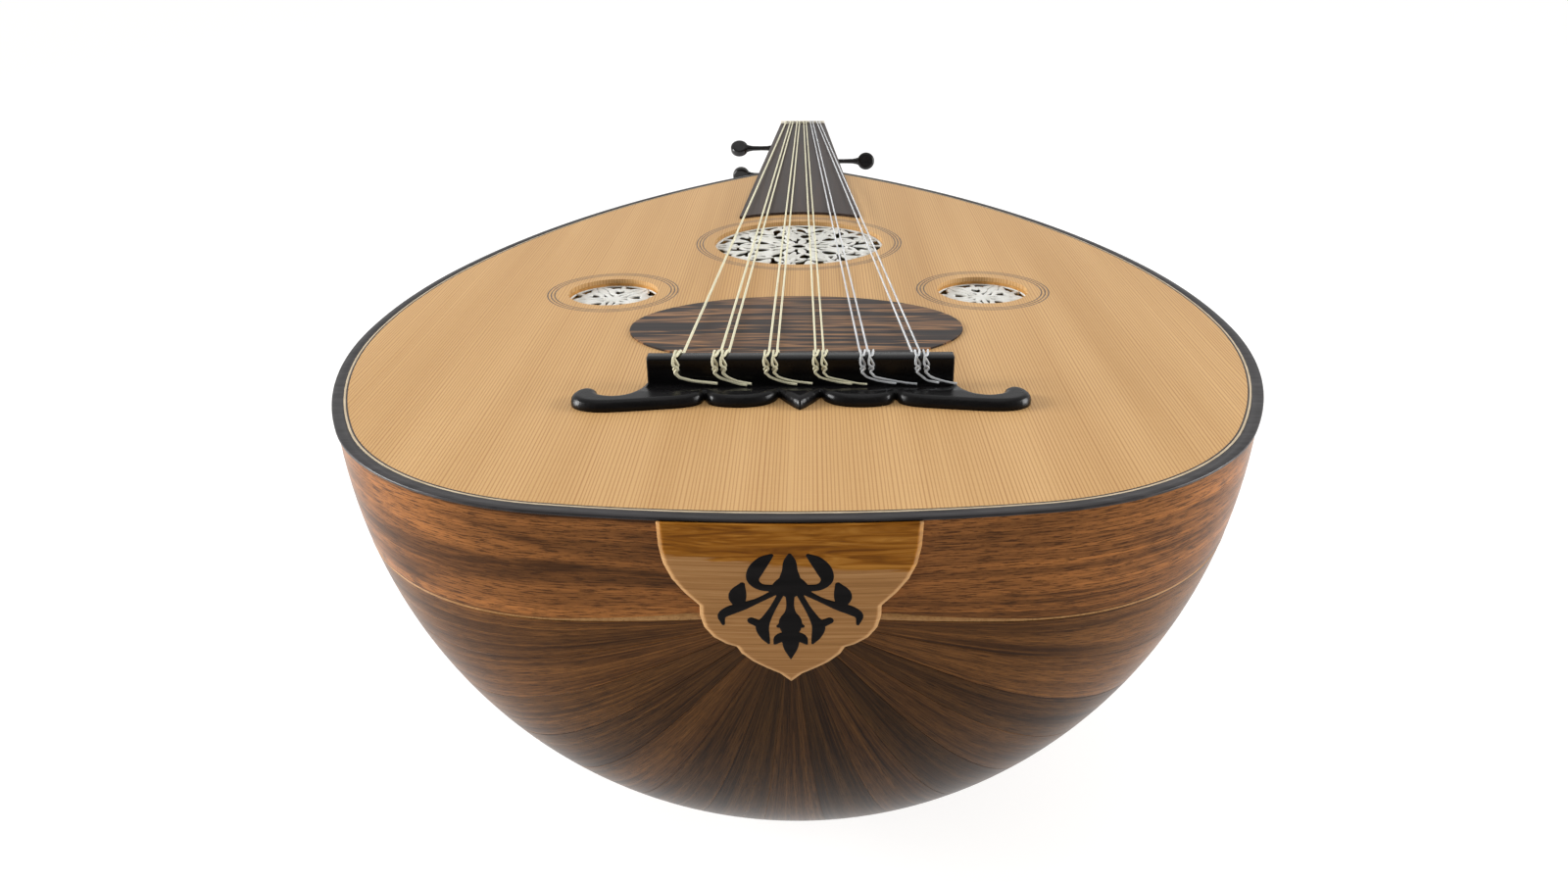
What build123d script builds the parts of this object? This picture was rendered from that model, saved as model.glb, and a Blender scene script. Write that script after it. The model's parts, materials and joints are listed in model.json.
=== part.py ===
from build123d import *
import math
import os

# An eleven-string oud lying on its back. Lengths are millimetres.
# Every piece is first made in the instrument's own frame: X across, Y from the tail edge towards
# the pegs, Z up, with Z = 0 on the playing face of the soundboard. At the end the whole oud is
# tipped by its resting angle and moved so that it stands on Z = 0 with its box centred on X and Y.

# ---- driving dimensions ----
STRING_LENGTH = 585.0
NECK_LENGTH = 195.0
BODY_LENGTH = 498.0
NUT_Y = BODY_LENGTH + NECK_LENGTH
BRIDGE_Y = NUT_Y - STRING_LENGTH

# Half outline of the face: arc radius and the heading at the arc's end (0 along +X, 90 along +Y).
OUTLINE_ARCS = ((490.0, 9.0), (108.0, 63.0), (241.0, 90.0), (354.0, 105.8), (488.0, None))
BOWL_DEPTH_FACTOR = 1.07
RIB_THICKNESS = 2.6
MIDDLE_RIBS = 15
RIM_RIB_ANGLE = 5.0
RIB_LINE_TAIL_DEPTH = 33.0
RIB_LINE_NECK_DEPTH = 3.0
RIB_TIP_RADIUS = 8.0
SECTOR_REACH = 400.0
STRIP_WIDTH = 0.8

BOARD_THICKNESS = 2.0
BINDING_WIDTH = 4.2
BINDING_PROUD = 1.0
BINDING_HEIGHT = 2.4
PURFLING_WIDTH = 0.8
INLAY_DEPTH = 0.8
FIT_GAP = 0.05

MAIN_ROSE_Y = 315.4
MAIN_HOLE_RADIUS = 45.0
MAIN_RING_OUTER = 54.9
SIDE_ROSE_X = 86.1
SIDE_ROSE_Y = 225.7
SIDE_HOLE_RADIUS = 20.8
SIDE_RING_OUTER = 30.6
ROSE_THICKNESS = 1.5
ROSE_LIP = 3.0
ROSE_TOP = -3.4
PETAL_SHARE = 1.65
RING_LINES = 3
RING_LINE_WIDTH = 0.6
RING_LINE_PITCH = 1.6

NECK_WIDTH_JOINT = 55.9
NECK_WIDTH_NUT = 36.2
FINGERBOARD_TOP = 1.5
NECK_TOP = -2.5
FINGERBOARD_TONGUE_WIDTH = 69.0
FINGERBOARD_TONGUE_Y = 366.9
NUT_THICKNESS = 3.6
NUT_TOP = 3.2
NECK_END_Y = NUT_Y + 4.0

BRIDGE_BLOCK_LENGTH = 113.0
BRIDGE_BLOCK_WIDTH = 7.0
BRIDGE_TOP = 12.4
BRIDGE_PLATE_THICKNESS = 4.0
STRING_HOLE_HEIGHT = 7.5
STRING_HOLE_RADIUS = 0.9

PICKGUARD_Y = 171.7
PICKGUARD_HALF_WIDTH = 70.5
PICKGUARD_HALF_HEIGHT = 43.0
PICKGUARD_THICKNESS = 0.8

CLASP_THICKNESS = 2.5
CLASP_TOP = -BINDING_HEIGHT - 0.2

PEGBOX_BEND = 55.0
PEGBOX_LENGTH = 200.0
PEGBOX_HALF_WIDTH_ROOT = 18.4
PEGBOX_HALF_WIDTH_END = 11.2
PEGBOX_DEPTH_ROOT = 27.0
PEGBOX_DEPTH_END = 16.0
CHEEK_THICKNESS = 4.2
BACK_THICKNESS = 3.5
FINIAL_LENGTH = 6.0
FINIAL_ROUNDING = 2.5

PEG_PITCH = 32.0
FIRST_LEFT_PEG = 15.0
FIRST_RIGHT_PEG = 31.0
LEFT_PEGS = 6
RIGHT_PEGS = 5
PEG_DEPTH = 8.5
PEG_RADIUS_HEAD_SIDE = 3.2
PEG_RADIUS_FAR_SIDE = 2.7
PEG_FIT = 0.08
PEG_HEAD_X = 53.5
PEG_HEAD_RADIUS = 7.2
PEG_HEAD_THICKNESS = 7.5
WINDING_RADIUS = 4.0
WINDING_WIDTH = 5.5
WINDING_X_FIRST = 9.8
WINDING_X_STEP = 1.5

STRING_RADIUS = 0.45
STRING_PEG_GAP = 0.35
STRING_NUT_HEIGHT = 2.9
BRIDGE_CENTRE_X = 2.4
COURSE_X_BRIDGE = (-45.4, -29.4, -10.6, 7.5, 24.7, 44.8)
COURSE_X_NUT = (-13.6, -9.0, -3.6, 1.8, 7.2, 12.55)
PAIR_GAP_BRIDGE = 3.1
PAIR_GAP_NUT = 2.1

BAR_WIDTH = 5.0
BAR_HEIGHT = 13.0
BAR_PLACES = (40.0, 82.0, 140.0, 190.0, 258.5, 378.0, 420.0)


# ---- outline and bowl ----
def outline_arcs(inset):
    """Centre, radius and headings of each arc of the right half outline, moved inwards by inset."""
    arcs = []
    heading = 0.0
    centre = (0.0, OUTLINE_ARCS[0][0])
    for index, (radius, end) in enumerate(OUTLINE_ARCS):
        if index:
            step = OUTLINE_ARCS[index - 1][0] - radius
            centre = (centre[0] + step * math.sin(heading), centre[1] - step * math.cos(heading))
        if end is None:
            end_heading = math.acos((centre[1] - BODY_LENGTH) / (radius - inset))
        else:
            end_heading = math.radians(end)
        arcs.append((centre, radius - inset, heading, end_heading))
        heading = end_heading
    return arcs


def arc_point(centre, radius, heading):
    return (centre[0] + radius * math.sin(heading), centre[1] - radius * math.cos(heading))


def half_outline(inset):
    """Edges of the right half outline, from the tail to the neck joint."""
    edges = []
    for centre, radius, start, end in outline_arcs(inset):
        points = [arc_point(centre, radius, heading) for heading in (start, (start + end) / 2, end)]
        edges.append(ThreePointArc(*points))
    return edges


def outline_half_width(y, inset=0.0):
    """Half width of the outline at a height y, on whichever arc spans it."""
    for centre, radius, start, end in outline_arcs(inset):
        if arc_point(centre, radius, end)[1] >= y - 1e-6:
            return centre[0] + math.sqrt(max(radius ** 2 - (y - centre[1]) ** 2, 0.0))
    return NECK_WIDTH_JOINT / 2


def half_face(inset):
    """The right half of the face as a flat region closed along the centre line."""
    edges = half_outline(inset)
    start = edges[0] @ 0
    end = edges[-1] @ 1
    edges.append(Line(end, (0, end.Y)))
    edges.append(Line((0, end.Y), start))
    return make_face(edges)


def whole_face(inset):
    half = half_face(inset)
    return half + mirror(half, about=Plane.YZ)


def plate(face, low, high):
    return extrude(Pos(0, 0, low) * face, high - low)


def bowl_solid(inset):
    """The solid half bowl inside the shell, moved inwards by inset: a deepened turned shape."""
    half = revolve(half_face(inset), Axis.Y, 180)
    deep = scale(half, by=(1, 1, BOWL_DEPTH_FACTOR))
    below_board = Pos(0, BODY_LENGTH / 2, -BOARD_THICKNESS - 200) * Box(500, BODY_LENGTH + 40, 400)
    return deep & below_board


def rib_direction():
    """Direction of the line that all rib seams meet, from the tail to the neck."""
    rise = RIB_LINE_TAIL_DEPTH - RIB_LINE_NECK_DEPTH
    return Vector(0, BODY_LENGTH, rise)


def rib_sector(points):
    """A long prism along the rib line with the given cross-section in X and Z."""
    reach = 20.0
    direction = rib_direction()
    start = Vector(0, 0, -RIB_LINE_TAIL_DEPTH) - direction * (reach / BODY_LENGTH)
    corners = [Vector(x, 0, z) + start for x, z in points]
    face = make_face(Polyline(*corners, close=True))
    length = direction.length * (1 + 2 * reach / BODY_LENGTH)
    return extrude(face, length, dir=direction)


def ray(angle, length):
    """End of a ray in the X-Z section, angle in degrees below +X."""
    turn = math.radians(angle)
    return (length * math.cos(turn), -length * math.sin(turn))


def sector_between(first, second):
    """Rib cross-section between two seam angles."""
    return [(0, 0), ray(first, SECTOR_REACH), ray(second, SECTOR_REACH)]


def rim_sector(side):
    points = [(0, 0), ray(RIM_RIB_ANGLE, SECTOR_REACH), (SECTOR_REACH, 60), (0, 60)]
    return [(side * x, z) for x, z in points]


def strip_sector(side):
    """The thin light strip just under the seam of the rim rib."""
    edge = ray(RIM_RIB_ANGLE, SECTOR_REACH)
    points = [(0, 0), edge, (edge[0], edge[1] - STRIP_WIDTH), (0, -STRIP_WIDTH)]
    return [(side * x, z) for x, z in points]


def tail_plug(radius):
    """Where the rib tips end around the middle of the tail."""
    return Pos(0, 4, -RIB_LINE_TAIL_DEPTH) * Rot(90, 0, 0) * Cylinder(radius, 24)


def bowl_ribs():
    """The rim ribs, the middle ribs and the pair of light strips between them."""
    shell = bowl_solid(0) - bowl_solid(RIB_THICKNESS) - tail_plug(RIB_TIP_RADIUS)
    step = (180 - 2 * RIM_RIB_ANGLE) / MIDDLE_RIBS
    strip_prisms = [rib_sector(strip_sector(side)) for side in (-1, 1)]
    strips = [shell & prism for prism in strip_prisms]
    ribs = [shell & rib_sector(rim_sector(-1))]
    for index in range(MIDDLE_RIBS):
        first = 180 - RIM_RIB_ANGLE - index * step
        sector = rib_sector(sector_between(first - step, first))
        rib = shell & sector
        if index == 0:
            rib = rib - strip_prisms[0]
        if index == MIDDLE_RIBS - 1:
            rib = rib - strip_prisms[1]
        ribs.append(rib)
    ribs.append(shell & rib_sector(rim_sector(1)))
    return ribs, strips


def neck_block():
    """Block inside the bowl that the neck is joined to."""
    region = Pos(0, BODY_LENGTH - 27, -60) * Box(200, 54, 200)
    return bowl_solid(RIB_THICKNESS + FIT_GAP) & region


def tail_block():
    """Curved lining inside the tail, behind the rib tips."""
    region = Pos(0, 6, -34) * Box(120, 12, 60)
    return bowl_solid(RIB_THICKNESS + FIT_GAP) & region


# ---- soundboard ----
def rose_places():
    return ((0, MAIN_ROSE_Y), (-SIDE_ROSE_X, SIDE_ROSE_Y), (SIDE_ROSE_X, SIDE_ROSE_Y))


def disc(radius, place, low, high):
    return Pos(place[0], place[1], (low + high) / 2) * Cylinder(radius, high - low)


def ring(outer, inner, place, low, high):
    return disc(outer, place, low, high) - disc(inner, place, low - 1, high + 1)


def ring_lines(outer, place):
    """Thin dark inlaid circles round a rose."""
    radii = [outer - index * RING_LINE_PITCH for index in range(RING_LINES)]
    return [ring(radius, radius - RING_LINE_WIDTH, place, -INLAY_DEPTH, 0) for radius in radii]


def main_ring():
    return ring_lines(MAIN_RING_OUTER, rose_places()[0])


def side_rings():
    return [line for place in rose_places()[1:] for line in ring_lines(SIDE_RING_OUTER, place)]


def purfling():
    outer = plate(whole_face(BINDING_WIDTH - BINDING_PROUD), -INLAY_DEPTH, 0)
    inner = plate(whole_face(BINDING_WIDTH - BINDING_PROUD + PURFLING_WIDTH), -INLAY_DEPTH - 1, 1)
    joint_cut = Pos(0, BODY_LENGTH, 0) * Box(NECK_WIDTH_JOINT - 2 * BINDING_WIDTH, 20, 10)
    return outer - inner - joint_cut


def soundboards():
    """The two bookmatched halves, left and right."""
    board = plate(half_face(BINDING_WIDTH - BINDING_PROUD), -BOARD_THICKNESS, 0)
    board -= disc(MAIN_HOLE_RADIUS, rose_places()[0], -5, 5)
    board -= disc(SIDE_HOLE_RADIUS, rose_places()[2], -5, 5)
    for line in main_ring() + ring_lines(SIDE_RING_OUTER, rose_places()[2]):
        board -= line
    board -= purfling()
    return mirror(board, about=Plane.YZ), board


def binding():
    """Dark edge round the face, covering the rib edges and standing a little proud of the bowl."""
    proud = whole_face(-BINDING_PROUD)
    cap = plate(proud, -BOARD_THICKNESS, 0)
    cap -= plate(whole_face(BINDING_WIDTH - BINDING_PROUD), -BOARD_THICKNESS - 1, 1)
    skirt = plate(proud, -BINDING_HEIGHT, -BOARD_THICKNESS)
    skirt -= plate(whole_face(-FIT_GAP), -BINDING_HEIGHT - 1, 0)
    joint_cut = Pos(0, BODY_LENGTH + 5, 0) * Box(NECK_WIDTH_JOINT * 2, 10, 20)
    return cap + skirt - joint_cut


def pierced_rose(hole_radius, place, petals):
    """A rose plate with rings of round openings, sunk in the hole and glued under the board by its rim."""
    low = ROSE_TOP - ROSE_THICKNESS
    rose = disc(hole_radius + ROSE_LIP, place, low, ROSE_TOP)
    rose += ring(hole_radius + ROSE_LIP, hole_radius, place, ROSE_TOP, -BOARD_THICKNESS)
    petal_size = hole_radius * PETAL_SHARE / petals
    for share, count in ((0.82, petals), (0.52, petals * 2 // 3), (0.24, petals // 3)):
        for index in range(count):
            turn = 2 * math.pi * index / count
            spot = (place[0] + share * hole_radius * math.cos(turn),
                    place[1] + share * hole_radius * math.sin(turn))
            rose -= disc(petal_size, spot, low - 1, 0)
    return rose


def brace_bar(y):
    """One cross bar under the board, with its ends cut slanting."""
    half = outline_half_width(y, RIB_THICKNESS) - 5.0
    top = -BOARD_THICKNESS
    low = top - BAR_HEIGHT
    points = ((-half, top), (half, top), (half, top - 3), (half - 25, low), (25 - half, low), (-half, top - 3))
    corners = [Vector(x, y - BAR_WIDTH / 2, z) for x, z in points]
    return extrude(make_face(Polyline(*corners, close=True)), BAR_WIDTH, dir=(0, 1, 0))


def braces():
    return [brace_bar(y) for y in BAR_PLACES]


def pickguard():
    face = Pos(0, PICKGUARD_Y) * Ellipse(PICKGUARD_HALF_WIDTH, PICKGUARD_HALF_HEIGHT)
    return extrude(face, PICKGUARD_THICKNESS)


# ---- neck, fingerboard and nut ----
def neck_half_width(y):
    """Half width of the straight taper that the neck and the fingerboard share."""
    slope = (NECK_WIDTH_JOINT - NECK_WIDTH_NUT) / 2 / NECK_LENGTH
    return NECK_WIDTH_JOINT / 2 - slope * (y - BODY_LENGTH)


def neck_section(y):
    half = neck_half_width(y)
    oval = Ellipse(half, half * BOWL_DEPTH_FACTOR)
    lower = oval & (Pos(0, NECK_TOP - 50) * Rectangle(200, 100))
    return Plane(origin=(0, y, 0), x_dir=(1, 0, 0), z_dir=(0, -1, 0)) * lower


def neck():
    beyond = NECK_END_Y + 2
    body = loft([neck_section(BODY_LENGTH), neck_section(beyond)], ruled=True)
    behind = pegbox_place() * Pos(0, 100, 0) * Box(100, 200, 200)
    return body - behind


def fingerboard():
    """Ebony board: full thickness over the neck, a thin tongue over the face with a hollow end."""
    half_nut = neck_half_width(NUT_Y)
    half_joint = neck_half_width(BODY_LENGTH)
    half_end = FINGERBOARD_TONGUE_WIDTH / 2
    over_neck = Polyline((-half_joint, BODY_LENGTH), (half_joint, BODY_LENGTH), (half_nut, NUT_Y),
                         (-half_nut, NUT_Y), close=True)
    tongue = Polyline((-half_end, FINGERBOARD_TONGUE_Y), (half_end, FINGERBOARD_TONGUE_Y),
                      (half_joint, BODY_LENGTH), (-half_joint, BODY_LENGTH), close=True)
    board = plate(make_face(over_neck), NECK_TOP, FINGERBOARD_TOP)
    board += plate(make_face(tongue), 0, FINGERBOARD_TOP)
    hollow = math.hypot(half_end, FINGERBOARD_TONGUE_Y - MAIN_ROSE_Y)
    return board - disc(hollow, rose_places()[0], -0.5, 5)


def nut():
    """Bone nut with one slot for each string."""
    half = neck_half_width(NUT_Y)
    middle = NUT_Y + NUT_THICKNESS / 2
    block = Pos(0, middle, (NECK_TOP + NUT_TOP) / 2) * Box(2 * half, NUT_THICKNESS, NUT_TOP - NECK_TOP)
    slot_floor = STRING_NUT_HEIGHT - STRING_RADIUS - 0.1
    for x in string_places(COURSE_X_NUT, PAIR_GAP_NUT):
        slot = Box(2 * STRING_RADIUS + 0.3, NUT_THICKNESS + 2, 2)
        block -= Pos(x, middle, slot_floor + 1) * slot
    return block


# ---- bridge ----
def bridge_plate_half():
    """Right half of the wavy glued foot: lobes towards the tail, a pointed curl at the end."""
    end = BRIDGE_BLOCK_LENGTH / 2
    tip = Spline((0, 81.7), (3.6, 86.5), (7.7, 92.5))
    middle_lobe = Spline((7.7, 92.5), (12, 86.6), (20, 84), (29, 84.8), (34.6, 91))
    long_lobe = Spline((34.6, 91), (38.5, 85), (54.9, 81.8), (69.6, 79.6), (79, 82.3), (82.7, 89))
    curl = ThreePointArc((82.7, 89), (78.2, 96.3), (73.4, 92.3))
    shoulder = Spline((73.4, 92.3), (71.4, 88.6), (66.5, 87.6), (61.2, 90.2), (58.2, 97), (end, BRIDGE_Y))
    back = Line((end, BRIDGE_Y), (0, BRIDGE_Y))
    return make_face([tip, middle_lobe, long_lobe, curl, shoulder, back, Line((0, BRIDGE_Y), (0, 81.7))])


def bridge():
    half = bridge_plate_half()
    foot = extrude(half + mirror(half, about=Plane.YZ), BRIDGE_PLATE_THICKNESS)
    middle = BRIDGE_Y - BRIDGE_BLOCK_WIDTH / 2
    block = Pos(0, middle, BRIDGE_TOP / 2) * Box(BRIDGE_BLOCK_LENGTH, BRIDGE_BLOCK_WIDTH, BRIDGE_TOP)
    body = foot + block
    drill = Rot(90, 0, 0) * Cylinder(STRING_HOLE_RADIUS, 3 * BRIDGE_BLOCK_WIDTH)
    for x in string_places(COURSE_X_BRIDGE, PAIR_GAP_BRIDGE):
        body -= Pos(x, middle, STRING_HOLE_HEIGHT) * drill
    return Pos(BRIDGE_CENTRE_X, 0, 0) * body


# ---- tail clasp ----
def clasp_half_points():
    """Right half outline of the clasp, seen along Y: X and depth below the face."""
    return [(0, CLASP_TOP), (39.2, CLASP_TOP), (38.4, -12), (36.4, -18.6), (32.5, -24.6), (27.3, -29.5),
            (27.2, -34.5), (24.9, -40), (21, -43.5), (17, -45), (12, -50.5), (7.5, -53.5), (0, -58.3)]


def clasp_prism():
    points = clasp_half_points()
    mirrored = [(-x, z) for x, z in points[-2:0:-1]]
    corners = [Vector(x, -20, z) for x, z in points + mirrored]
    return extrude(make_face(Polyline(*corners, close=True)), 40, dir=(0, 1, 0))


def leaf(x, z, width, height, turn):
    """A pointed leaf of the ornament, lying in the X-Z plane."""
    reach = height / 2
    side = width / 2
    edges = [ThreePointArc((0, -reach), (side, 0), (0, reach)), ThreePointArc((0, reach), (-side, 0), (0, -reach))]
    upright = Plane(origin=(x, 20, z), x_dir=(1, 0, 0), z_dir=(0, -1, 0))
    return extrude(upright * (Rot(0, 0, turn) * make_face(edges)), 40)


def ornament_prism():
    """Stem, side leaves and tip of the dark ornament on the clasp."""
    shape = leaf(0, -27, 7, 40, 0) + leaf(0, -47.5, 10, 12, 0)
    for side in (-1, 1):
        shape += leaf(side * 9.5, -13, 6, 21, side * -62)
        shape += leaf(side * 8.5, -24, 6, 19, side * 58)
        shape += leaf(side * 6.5, -35, 5, 14, side * 60)
    return shape


def clasp_parts():
    """The clasp cap and the thin ornament let into its outer face."""
    skin = bowl_solid(-CLASP_THICKNESS) - bowl_solid(-FIT_GAP)
    cap = skin & clasp_prism()
    inlay_layer = bowl_solid(-CLASP_THICKNESS) - bowl_solid(-CLASP_THICKNESS + INLAY_DEPTH)
    inlay = inlay_layer & ornament_prism()
    return cap - inlay, inlay


# ---- pegbox and pegs ----
def pegbox_place():
    """Pegbox frame: Y runs down the bent-back pegbox, Z points out of its open side."""
    return Pos(0, NECK_END_Y, NECK_TOP) * Rot(-PEGBOX_BEND, 0, 0)


def pegbox_half_width(s):
    share = s / PEGBOX_LENGTH
    return PEGBOX_HALF_WIDTH_ROOT + (PEGBOX_HALF_WIDTH_END - PEGBOX_HALF_WIDTH_ROOT) * share


def pegbox_depth(s):
    return PEGBOX_DEPTH_ROOT + (PEGBOX_DEPTH_END - PEGBOX_DEPTH_ROOT) * s / PEGBOX_LENGTH


def pegbox_strip(start, end, inset_out, inset_in, side):
    """Plan region along one cheek, between two distances in from the outer side."""
    points = [(pegbox_half_width(start) - inset_out, start), (pegbox_half_width(end) - inset_out, end),
              (pegbox_half_width(end) - inset_in, end), (pegbox_half_width(start) - inset_in, start)]
    return make_face(Polyline(*[(side * x, y) for x, y in points], close=True))


def pegbox_plan(start, end, inset):
    points = [(pegbox_half_width(start) - inset, start), (pegbox_half_width(end) - inset, end)]
    mirrored = [(-x, y) for x, y in reversed(points)]
    return make_face(Polyline(*(points + mirrored), close=True))


def side_band(start, end, top_drop, thickness):
    """Slab following the sloping back of the pegbox; a thickness of None fills up to top_drop."""
    def level(s):
        return -top_drop if thickness is None else thickness - pegbox_depth(s)
    points = [(start, -pegbox_depth(start)), (end, -pegbox_depth(end)), (end, level(end)), (start, level(start))]
    corners = [Vector(-40, y, z) for y, z in points]
    return extrude(make_face(Polyline(*corners, close=True)), 80, dir=(1, 0, 0))


def peg_list():
    """Side, number, place along the pegbox and winding centre of every peg."""
    pegs = []
    for index in range(LEFT_PEGS):
        pegs.append((-1, index + 1, FIRST_LEFT_PEG + index * PEG_PITCH))
    for index in range(RIGHT_PEGS):
        pegs.append((1, index + 1, FIRST_RIGHT_PEG + index * PEG_PITCH))
    return pegs


def winding_x(side, number):
    return side * (WINDING_X_FIRST - WINDING_X_STEP * (number - 1))


def peg_name(side, number):
    return f"peg_{'left' if side < 0 else 'right'}_{number}"


def peg_holes(extra):
    """Stepped holes of all pegs through both cheeks."""
    holes = []
    for side, number, s in peg_list():
        near = Pos(side * 25, s, -PEG_DEPTH) * Rot(0, 90, 0) * Cylinder(PEG_RADIUS_HEAD_SIDE + extra, 50)
        far = Pos(-side * 25, s, -PEG_DEPTH) * Rot(0, 90, 0) * Cylinder(PEG_RADIUS_FAR_SIDE + extra, 50)
        holes.append(near)
        holes.append(far)
    return holes


def pegbox_cheek(side):
    cheek = extrude(pegbox_strip(0, PEGBOX_LENGTH, 0, CHEEK_THICKNESS, side), -60)
    cheek = cheek & side_band(0, PEGBOX_LENGTH, 0, None)
    for hole in peg_holes(PEG_FIT):
        cheek -= hole
    return cheek


def pegbox_back():
    plan = extrude(pegbox_plan(0, PEGBOX_LENGTH, CHEEK_THICKNESS), -60)
    return plan & side_band(0, PEGBOX_LENGTH, 0, BACK_THICKNESS)


def pegbox_block(start, end, top_drop):
    plan = extrude(pegbox_plan(start, end, CHEEK_THICKNESS), -60)
    return (plan & side_band(start, end, top_drop, None)) - side_band(start, end, 0, BACK_THICKNESS)


def pegbox_finial():
    """End cap over the last face of the pegbox, rounded across."""
    half = pegbox_half_width(PEGBOX_LENGTH)
    depth = pegbox_depth(PEGBOX_LENGTH)
    cap = Pos(0, PEGBOX_LENGTH + FINIAL_LENGTH / 2, -depth / 2) * Box(2 * half, FINIAL_LENGTH, depth)
    end_edges = cap.faces().sort_by(Axis.Y)[-1].edges().filter_by(Axis.X)
    return fillet(end_edges, FINIAL_ROUNDING)


def peg(side, number, s):
    """Turned shaft with winding barrel and collar, and a flat round grip along the axis."""
    cheek_outer = pegbox_half_width(s)
    far_tip = -(cheek_outer + 1.5)
    barrel = abs(winding_x(side, number))
    collar = cheek_outer + 2.5
    head_start = PEG_HEAD_X - PEG_HEAD_RADIUS + 1.5
    barrel_half = WINDING_WIDTH / 2
    profile = Polyline((far_tip, 0), (far_tip, PEG_RADIUS_FAR_SIDE), (0, PEG_RADIUS_FAR_SIDE),
                       (0, PEG_RADIUS_HEAD_SIDE), (cheek_outer + 1, PEG_RADIUS_HEAD_SIDE),
                       (collar, 4.6), (collar + 2.5, 4.6), (collar + 6, 2.9), (head_start, 2.6),
                       (head_start, 0), close=True)
    shaft = revolve(make_face(profile), Axis.X, 360)
    wound = Pos(barrel, 0, 0) * Rot(0, 90, 0) * Cylinder(WINDING_RADIUS, 2 * barrel_half)
    grip = fillet(Cylinder(PEG_HEAD_RADIUS, PEG_HEAD_THICKNESS).edges(), 2.5)
    pip = Pos(PEG_HEAD_RADIUS + 0.6, 0, 0) * Rot(0, 90, 0) * Cylinder(1.6, 3)
    body = shaft + wound + Pos(PEG_HEAD_X, 0, 0) * (grip + pip)
    if side < 0:
        body = mirror(body, about=Plane.YZ)
    return pegbox_place() * Pos(0, s, -PEG_DEPTH) * body


# ---- strings ----
def string_places(courses, gap):
    """Places of the single bass string and of the five pairs."""
    places = [courses[0]]
    for centre in courses[1:]:
        places += [centre - gap / 2, centre + gap / 2]
    return places


def string_pegs():
    """Outer strings go to the nearest pegs: left pegs in order, then right pegs from the far end."""
    left = [(-1, index + 1) for index in range(LEFT_PEGS)]
    right = [(1, index + 1) for index in reversed(range(RIGHT_PEGS))]
    return left + right


def string_solid(index):
    x_bridge = BRIDGE_CENTRE_X + string_places(COURSE_X_BRIDGE, PAIR_GAP_BRIDGE)[index]
    x_nut = string_places(COURSE_X_NUT, PAIR_GAP_NUT)[index]
    side, number = string_pegs()[index]
    s = (FIRST_LEFT_PEG if side < 0 else FIRST_RIGHT_PEG) + (number - 1) * PEG_PITCH
    height = WINDING_RADIUS + STRING_RADIUS + STRING_PEG_GAP - PEG_DEPTH
    tangent = (pegbox_place() * Pos(winding_x(side, number), s, height)).position
    points = [Vector(x_bridge, BRIDGE_Y - BRIDGE_BLOCK_WIDTH - 1.2, STRING_HOLE_HEIGHT),
              Vector(x_bridge, BRIDGE_Y + 1.5, STRING_HOLE_HEIGHT),
              Vector(x_nut, NUT_Y, STRING_NUT_HEIGHT),
              Vector(x_nut, NUT_Y + NUT_THICKNESS + 1.0, STRING_NUT_HEIGHT), tangent]
    path = FilletPolyline(*points, radius=1.0)
    start = Plane(origin=points[0], z_dir=points[1] - points[0])
    return sweep(start * Circle(STRING_RADIUS), path=path)


def string_courses():
    """Six nodes: the single bass string and five pairs."""
    solids = [string_solid(index) for index in range(2 * len(COURSE_X_NUT) - 1)]
    courses = [solids[:1]]
    for pair in range(len(COURSE_X_NUT) - 1):
        courses.append(solids[1 + 2 * pair:3 + 2 * pair])
    return courses


# ---- resting position ----
def resting_tilt():
    """Angle of the line under the bowl and the lower edge of the pegbox end."""
    corner = pegbox_place() * Pos(0, PEGBOX_LENGTH + FINIAL_LENGTH - FINIAL_ROUNDING,
                                  FINIAL_ROUNDING - PEGBOX_DEPTH_END)
    low_y = corner.position.Y
    low_z = corner.position.Z - FINIAL_ROUNDING
    slope = 0.0
    for centre, radius, start, stop in outline_arcs(0):
        for step in range(200):
            width, y = arc_point(centre, radius, start + (stop - start) * step / 199)
            keel = -BOWL_DEPTH_FACTOR * width
            slope = max(slope, (low_z - keel) / (low_y - y))
    return math.degrees(math.atan(slope))


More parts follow.
